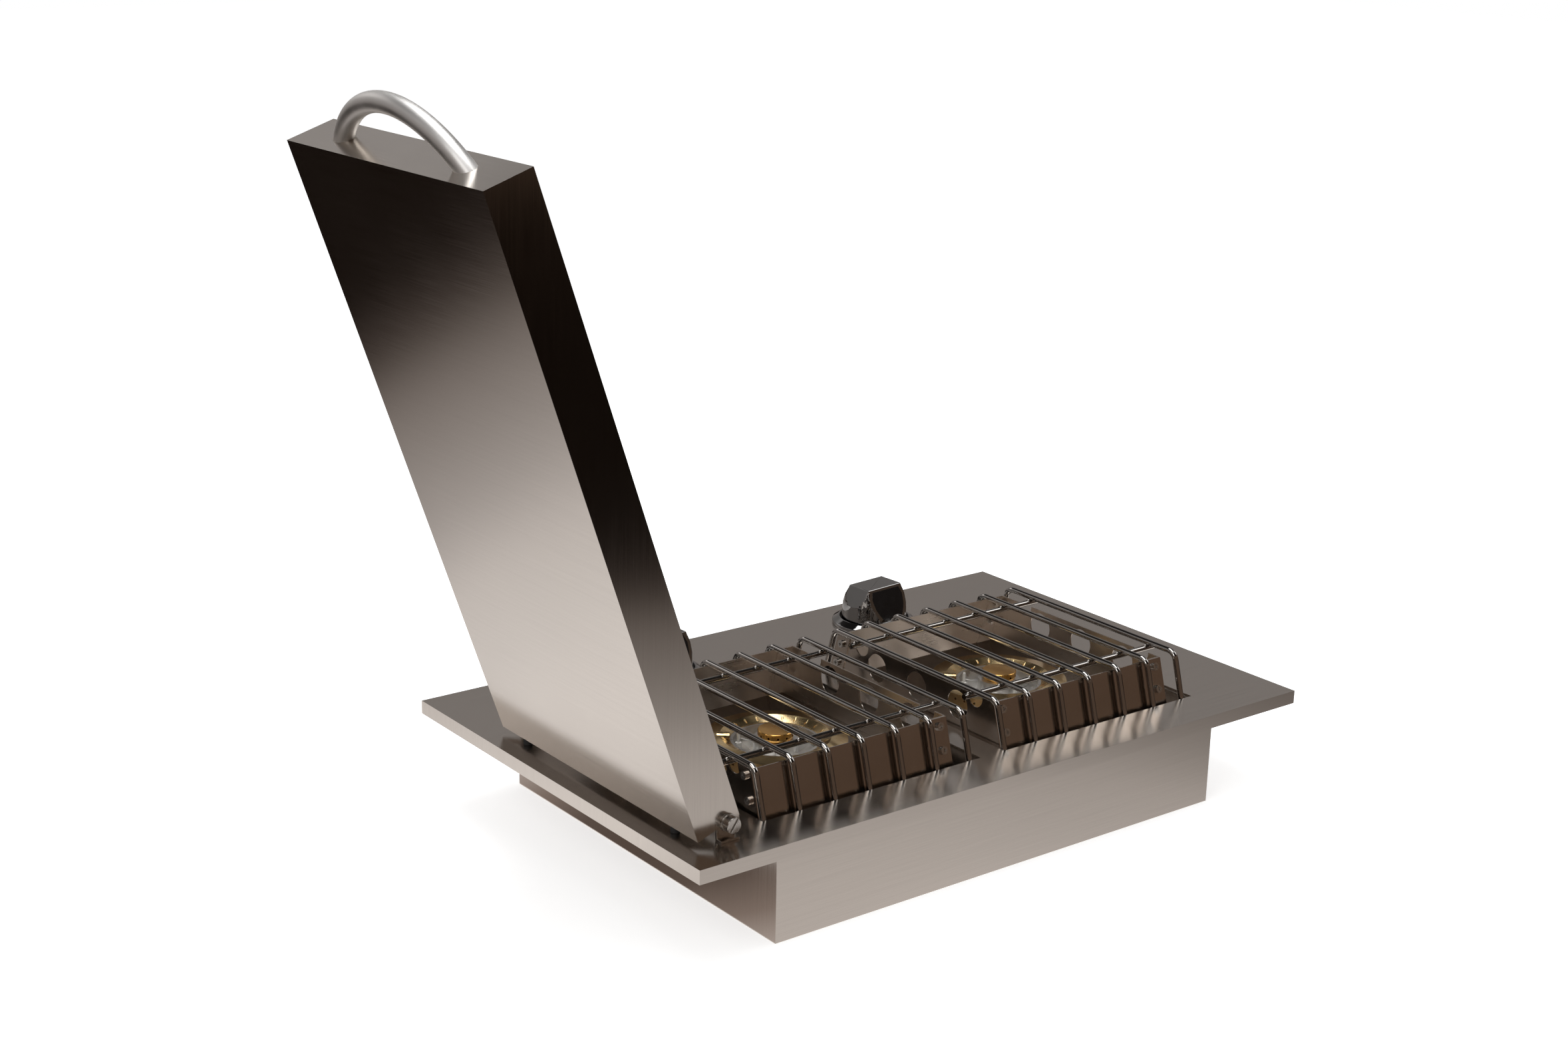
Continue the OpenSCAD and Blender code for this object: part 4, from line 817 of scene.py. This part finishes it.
# Places of the cards that lie or hang inside the room, and how far their tones reach
GROUND_RADIUS = 6.0
GROUND_PLACE = (-0.2, 0, 0.5 * MM)
SHADE_PLACE = (-0.27, 0.01, 1 * MM)
SHADE_SIZE = (0.09, 0.38, 1)
SHADE_REACH = 0.19
CEILING_RADIUS = 4.1
CEILING_PLACE = (0, 0, 4.39)
SOFT_PLACE = (-1.0, 3.3, 2.1)
SOFT_TURN = (math.radians(90), 0, math.radians(17))
SOFT_SIZE = (2.2, 1.5, 1)
SOFT_REACH = 0.5

# Shares of green and blue that a fully warm tone loses
WARM_GREEN = 0.38
WARM_BLUE = 0.56

# Tones of the cards: each row holds a place in metres, a tone and its warmth
GROUND_TONES = (
    (0.0, 1.0, 0.1), (0.22, 1.0, 0.1), (0.35, 0.88, 0.1), (0.46, 0.80, 0.12), (0.58, 0.52, 0.15),
    (0.70, 0.38, 0.2), (0.82, 0.27, 0.3), (0.93, 0.07, 0.6), (1.06, 0.010, 0.9), (6.0, 0.006, 1.0),
)
SHADE_TONES = ((0.0, 0.11, 0.7), (0.08, 0.15, 0.6), (0.14, 0.30, 0.5), (0.19, 0.55, 0.3))
WALL_TONES = (
    (0.0, 0.03, 0.6), (0.15, 0.26, 0.3), (0.4, 0.30, 0.25), (0.9, 0.25, 0.2), (1.6, 0.25, 0.15),
    (2.0, 0.30, 0.15), (2.3, 0.40, 0.1), (2.65, 0.38, 0.1), (2.95, 0.04, 0.2), (4.4, 0.02, 0.2),
)
CEILING_TONES = ((0.0, 0.02, 0.2), (4.1, 0.02, 0.2))
SOFT_TONES = ((0.0, 1.3, 0.1), (0.35, 1.1, 0.1), (0.5, 0.4, 0.1))

# Fades of the cards along Y: where the tint is full, where it is gone, and the tint
GROUND_FADE = (-0.22, 0.08, (0.68, 0.67, 0.66))
WALL_FADE = (-1.5, 1.5, (0.44, 0.33, 0.25))

CAMERA_PLACE = (-1.1507, -1.37275, 0.7717)
CAMERA_YAW = -0.6585
CAMERA_PITCH = 0.2917
CAMERA_ROLL = 0.0217
SENSOR_WIDTH = 36


def seen(tree):
    """A number that is one for the rays that show the background."""
    path = tree.nodes.new("ShaderNodeLightPath")
    total = path.outputs[SEEN_RAYS[0]]
    for name in SEEN_RAYS[1:]:
        most = tree.nodes.new("ShaderNodeMath")
        most.operation = "MAXIMUM"
        tree.links.new(total, most.inputs[0])
        tree.links.new(path.outputs[name], most.inputs[1])
        total = most.outputs["Value"]
    return total


def floor_finish(colour, glow):
    """Pale floor, lifted to white where it is seen, that keeps the shadow."""
    material = bpy.data.materials.new("studio_floor")
    material.use_nodes = True
    tree = material.node_tree
    shader = tree.nodes["Principled BSDF"]
    shader.inputs["Base Color"].default_value = (*colour, 1)
    shader.inputs["Roughness"].default_value = 0.9
    shader.inputs["Specular IOR Level"].default_value = 0.0
    shader.inputs["Emission Color"].default_value = (1, 1, 1, 1)
    level = tree.nodes.new("ShaderNodeMath")
    level.operation = "MULTIPLY"
    level.inputs[1].default_value = glow
    tree.links.new(seen(tree), level.inputs[0])
    tree.links.new(level.outputs["Value"], shader.inputs["Emission Strength"])
    return material


def toned(tree, value, tones, reach):
    """The colour that a row of tones has at a distance of up to the reach."""
    scaled = tree.nodes.new("ShaderNodeMath")
    scaled.operation = "DIVIDE"
    scaled.inputs[1].default_value = reach
    tree.links.new(value, scaled.inputs[0])
    ramp = tree.nodes.new("ShaderNodeValToRGB")
    elements = ramp.color_ramp.elements
    while len(elements) < len(tones):
        elements.new(1.0)
    for element, (place, tone, warmth) in zip(elements, tones):
        element.position = place / reach
        element.color = (tone, tone * (1 - WARM_GREEN * warmth), tone * (1 - WARM_BLUE * warmth), 1)
    tree.links.new(scaled.outputs["Value"], ramp.inputs["Fac"])
    return ramp.outputs["Color"]


def faded(tree, place, colour, fade):
    """The colour multiplied by the fade's tint where Y is low, and less so further on."""
    start, end, tint = fade
    split = tree.nodes.new("ShaderNodeSeparateXYZ")
    tree.links.new(place, split.inputs[0])
    weight = tree.nodes.new("ShaderNodeMapRange")
    weight.interpolation_type = "SMOOTHSTEP"
    weight.inputs["From Min"].default_value = start
    weight.inputs["From Max"].default_value = end
    weight.inputs["To Min"].default_value = 1.0
    weight.inputs["To Max"].default_value = 0.0
    tree.links.new(split.outputs["Y"], weight.inputs["Value"])
    tinted = tree.nodes.new("ShaderNodeMix")
    tinted.data_type = "RGBA"
    tinted.blend_type = "MULTIPLY"
    tree.links.new(weight.outputs["Result"], tinted.inputs["Factor"])
    tree.links.new(colour, tinted.inputs[MIX_FIRST])
    tinted.inputs[MIX_SECOND].default_value = (*tint, 1)
    return tinted.outputs[MIX_RESULT]


def card_finish(name, tones, reach, upwards=False, fade=None):
    """A glowing card whose tones run outwards from its middle, or upwards."""
    material = bpy.data.materials.new(name)
    material.use_nodes = True
    tree = material.node_tree
    tree.nodes.clear()
    output = tree.nodes.new("ShaderNodeOutputMaterial")
    glow = tree.nodes.new("ShaderNodeEmission")
    place = tree.nodes.new("ShaderNodeTexCoord").outputs["Object"]
    if upwards:
        split = tree.nodes.new("ShaderNodeSeparateXYZ")
        tree.links.new(place, split.inputs[0])
        value = split.outputs["Z"]
    else:
        length = tree.nodes.new("ShaderNodeVectorMath")
        length.operation = "LENGTH"
        tree.links.new(place, length.inputs[0])
        value = length.outputs["Value"]
    colour = toned(tree, value, tones, reach)
    if fade is not None:
        colour = faded(tree, place, colour, fade)
    tree.links.new(colour, glow.inputs["Color"])
    tree.links.new(glow.outputs[0], output.inputs["Surface"])
    return material


def only_reflected(obj):
    """A card that only reflections show."""
    obj.visible_camera = False
    obj.visible_diffuse = False
    obj.visible_shadow = False
    obj.visible_transmission = False
    obj.visible_volume_scatter = False


class HOB_OT_studio(bpy.types.Operator):
    """Floor, reflection cards, soft lamps and the camera"""

    bl_idname = "hob.studio"
    bl_label = "Studio"

    def execute(self, context):
        studio = context.scene.hob_studio
        only()
        bpy.ops.mesh.primitive_plane_add(size=FLOOR_SIZE, location=(0, 0, 0))
        floor = context.object
        floor.name = "studio_floor"
        floor.data.materials.append(floor_finish(tuple(studio.floor), studio.glow))

        self.cards(context)
        self.lamps(context, studio.lamp_power)
        self.background(context)
        self.camera(context, studio.lens)
        return {"FINISHED"}

    def cards(self, context):
        """What the steel mirrors: a pool of light on the ground, shade beside the box, a dim room."""
        only()
        bpy.ops.mesh.primitive_circle_add(
            vertices=96, radius=GROUND_RADIUS, fill_type="NGON", location=GROUND_PLACE)
        self.keep(context.object, "studio_ground_card", GROUND_TONES, GROUND_RADIUS, fade=GROUND_FADE)

        only()
        bpy.ops.mesh.primitive_plane_add(size=1, location=SHADE_PLACE)
        context.object.scale = SHADE_SIZE
        bpy.ops.object.transform_apply(location=False, rotation=False, scale=True)
        self.keep(context.object, "studio_shade_card_left", SHADE_TONES, SHADE_REACH)

        only()
        bpy.ops.mesh.primitive_cylinder_add(
            vertices=96, radius=ROOM_RADIUS, depth=ROOM_HEIGHT, end_fill_type="NOTHING",
            location=(0, 0, ROOM_HEIGHT / 2))
        bpy.ops.object.transform_apply(location=True, rotation=True, scale=True)
        self.keep(
            context.object, "studio_wall_card", WALL_TONES, ROOM_HEIGHT, upwards=True, fade=WALL_FADE)

        only()
        bpy.ops.mesh.primitive_circle_add(
            vertices=48, radius=CEILING_RADIUS, fill_type="NGON", location=CEILING_PLACE)
        self.keep(context.object, "studio_ceiling_card", CEILING_TONES, CEILING_RADIUS)

        only()
        bpy.ops.mesh.primitive_plane_add(size=1, location=SOFT_PLACE, rotation=SOFT_TURN)
        context.object.scale = SOFT_SIZE
        self.keep(context.object, "studio_soft_card", SOFT_TONES, SOFT_REACH)

    def keep(self, card, name, tones, reach, upwards=False, fade=None):
        """Names a card, gives it its tones and keeps it to reflections."""
        card.name = name
        card.data.materials.append(card_finish(name, tones, reach, upwards, fade))
        only_reflected(card)

    def lamps(self, context, power):
        """One large overhead lamp and a weaker one at each side."""
        # Each row holds a place, an aim, a size and a share of the power
        layout = {
            "lamp_overhead": ((-0.2, 0.1, 2.3), (0.05, 0, 0.1), (1.9, 1.3), 1.0),
            "lamp_left": ((-2.0, -0.9, 1.7), (0, 0, 0.2), (1.0, 1.0), 0.35),
            "lamp_right": ((1.9, -0.6, 1.6), (0, 0, 0.1), (1.0, 1.0), 0.25),
        }
        for name, (place, aim, size, share) in layout.items():
            data = bpy.data.lights.new(name, "AREA")
            data.shape = "RECTANGLE"
            data.size, data.size_y = size
            data.energy = power * share
            lamp = bpy.data.objects.new(name, data)
            lamp.location = place
            lamp.rotation_mode = "QUATERNION"
            lamp.rotation_quaternion = (Vector(aim) - Vector(place)).to_track_quat("-Z", "Y")
            context.scene.collection.objects.link(lamp)

    def background(self, context):
        """White where it is seen or reflected, a plain fill elsewhere."""
        world = bpy.data.worlds.new("studio_world")
        context.scene.world = world
        world.use_nodes = True
        tree = world.node_tree
        back = tree.nodes["Background"]
        level = tree.nodes.new("ShaderNodeMapRange")
        level.inputs["To Min"].default_value = FILL_LEVEL
        level.inputs["To Max"].default_value = 1.0
        tree.links.new(seen(tree), level.inputs["Value"])
        back.inputs["Color"].default_value = (1, 1, 1, 1)
        tree.links.new(level.outputs["Result"], back.inputs["Strength"])

    def camera(self, context, lens):
        """Camera at the photograph's angle."""
        data = bpy.data.cameras.new("camera")
        data.lens = lens
        data.sensor_width = SENSOR_WIDTH
        data.clip_start = 0.05
        data.clip_end = 40
        data.dof.use_dof = False
        camera = bpy.data.objects.new("camera", data)
        context.scene.collection.objects.link(camera)
        yaw, pitch, roll = CAMERA_YAW, CAMERA_PITCH, CAMERA_ROLL
        back = Vector((math.sin(yaw) * math.cos(pitch), -math.cos(yaw) * math.cos(pitch), math.sin(pitch)))
        right = Vector((math.cos(yaw), math.sin(yaw), 0))
        up = back.cross(right)
        right_rolled = right * math.cos(roll) + up * math.sin(roll)
        up_rolled = up * math.cos(roll) - right * math.sin(roll)
        turn = Matrix((right_rolled, up_rolled, back)).transposed()
        camera.matrix_world = Matrix.Translation(CAMERA_PLACE) @ turn.to_4x4()
        context.scene.camera = camera
        context.scene.view_settings.view_transform = "Standard"


STEPS = (
    HOB_OT_plate, HOB_OT_box, HOB_OT_lid, HOB_OT_hinges, HOB_OT_guards,
    HOB_OT_racks, HOB_OT_burners, HOB_OT_knobs, HOB_OT_gas_parts, HOB_OT_studio,
)
SETTINGS = {
    "hob_sheet": SheetSettings,
    "hob_wire": WireSettings,
    "hob_burner": BurnerSettings,
    "hob_knob": KnobSettings,
    "hob_studio": StudioSettings,
}


class HOB_PT_panel(bpy.types.Panel):
    """Lists the settings and the pieces"""

    bl_idname = "HOB_PT_panel"
    bl_label = "Drop-in hob"
    bl_space_type = "VIEW_3D"
    bl_region_type = "UI"
    bl_category = "Hob"

    def draw(self, context):
        for name, group in SETTINGS.items():
            column = self.layout.column(align=True)
            column.label(text=group.__doc__)
            for key in group.__annotations__:
                column.prop(getattr(context.scene, name), key)
        for step in STEPS:
            self.layout.operator(step.bl_idname)


def register():
    for group in SETTINGS.values():
        bpy.utils.register_class(group)
    for step in (*STEPS, HOB_PT_panel):
        bpy.utils.register_class(step)
    for name, group in SETTINGS.items():
        setattr(bpy.types.Scene, name, bpy.props.PointerProperty(type=group))


def unregister():
    for name in SETTINGS:
        delattr(bpy.types.Scene, name)
    for step in reversed((*STEPS, HOB_PT_panel)):
        bpy.utils.unregister_class(step)
    for group in reversed(list(SETTINGS.values())):
        bpy.utils.unregister_class(group)


def main():
    register()
    for step in STEPS:
        group, name = step.bl_idname.split(".")
        getattr(getattr(bpy.ops, group), name)()


if __name__ == "__main__":
    main()
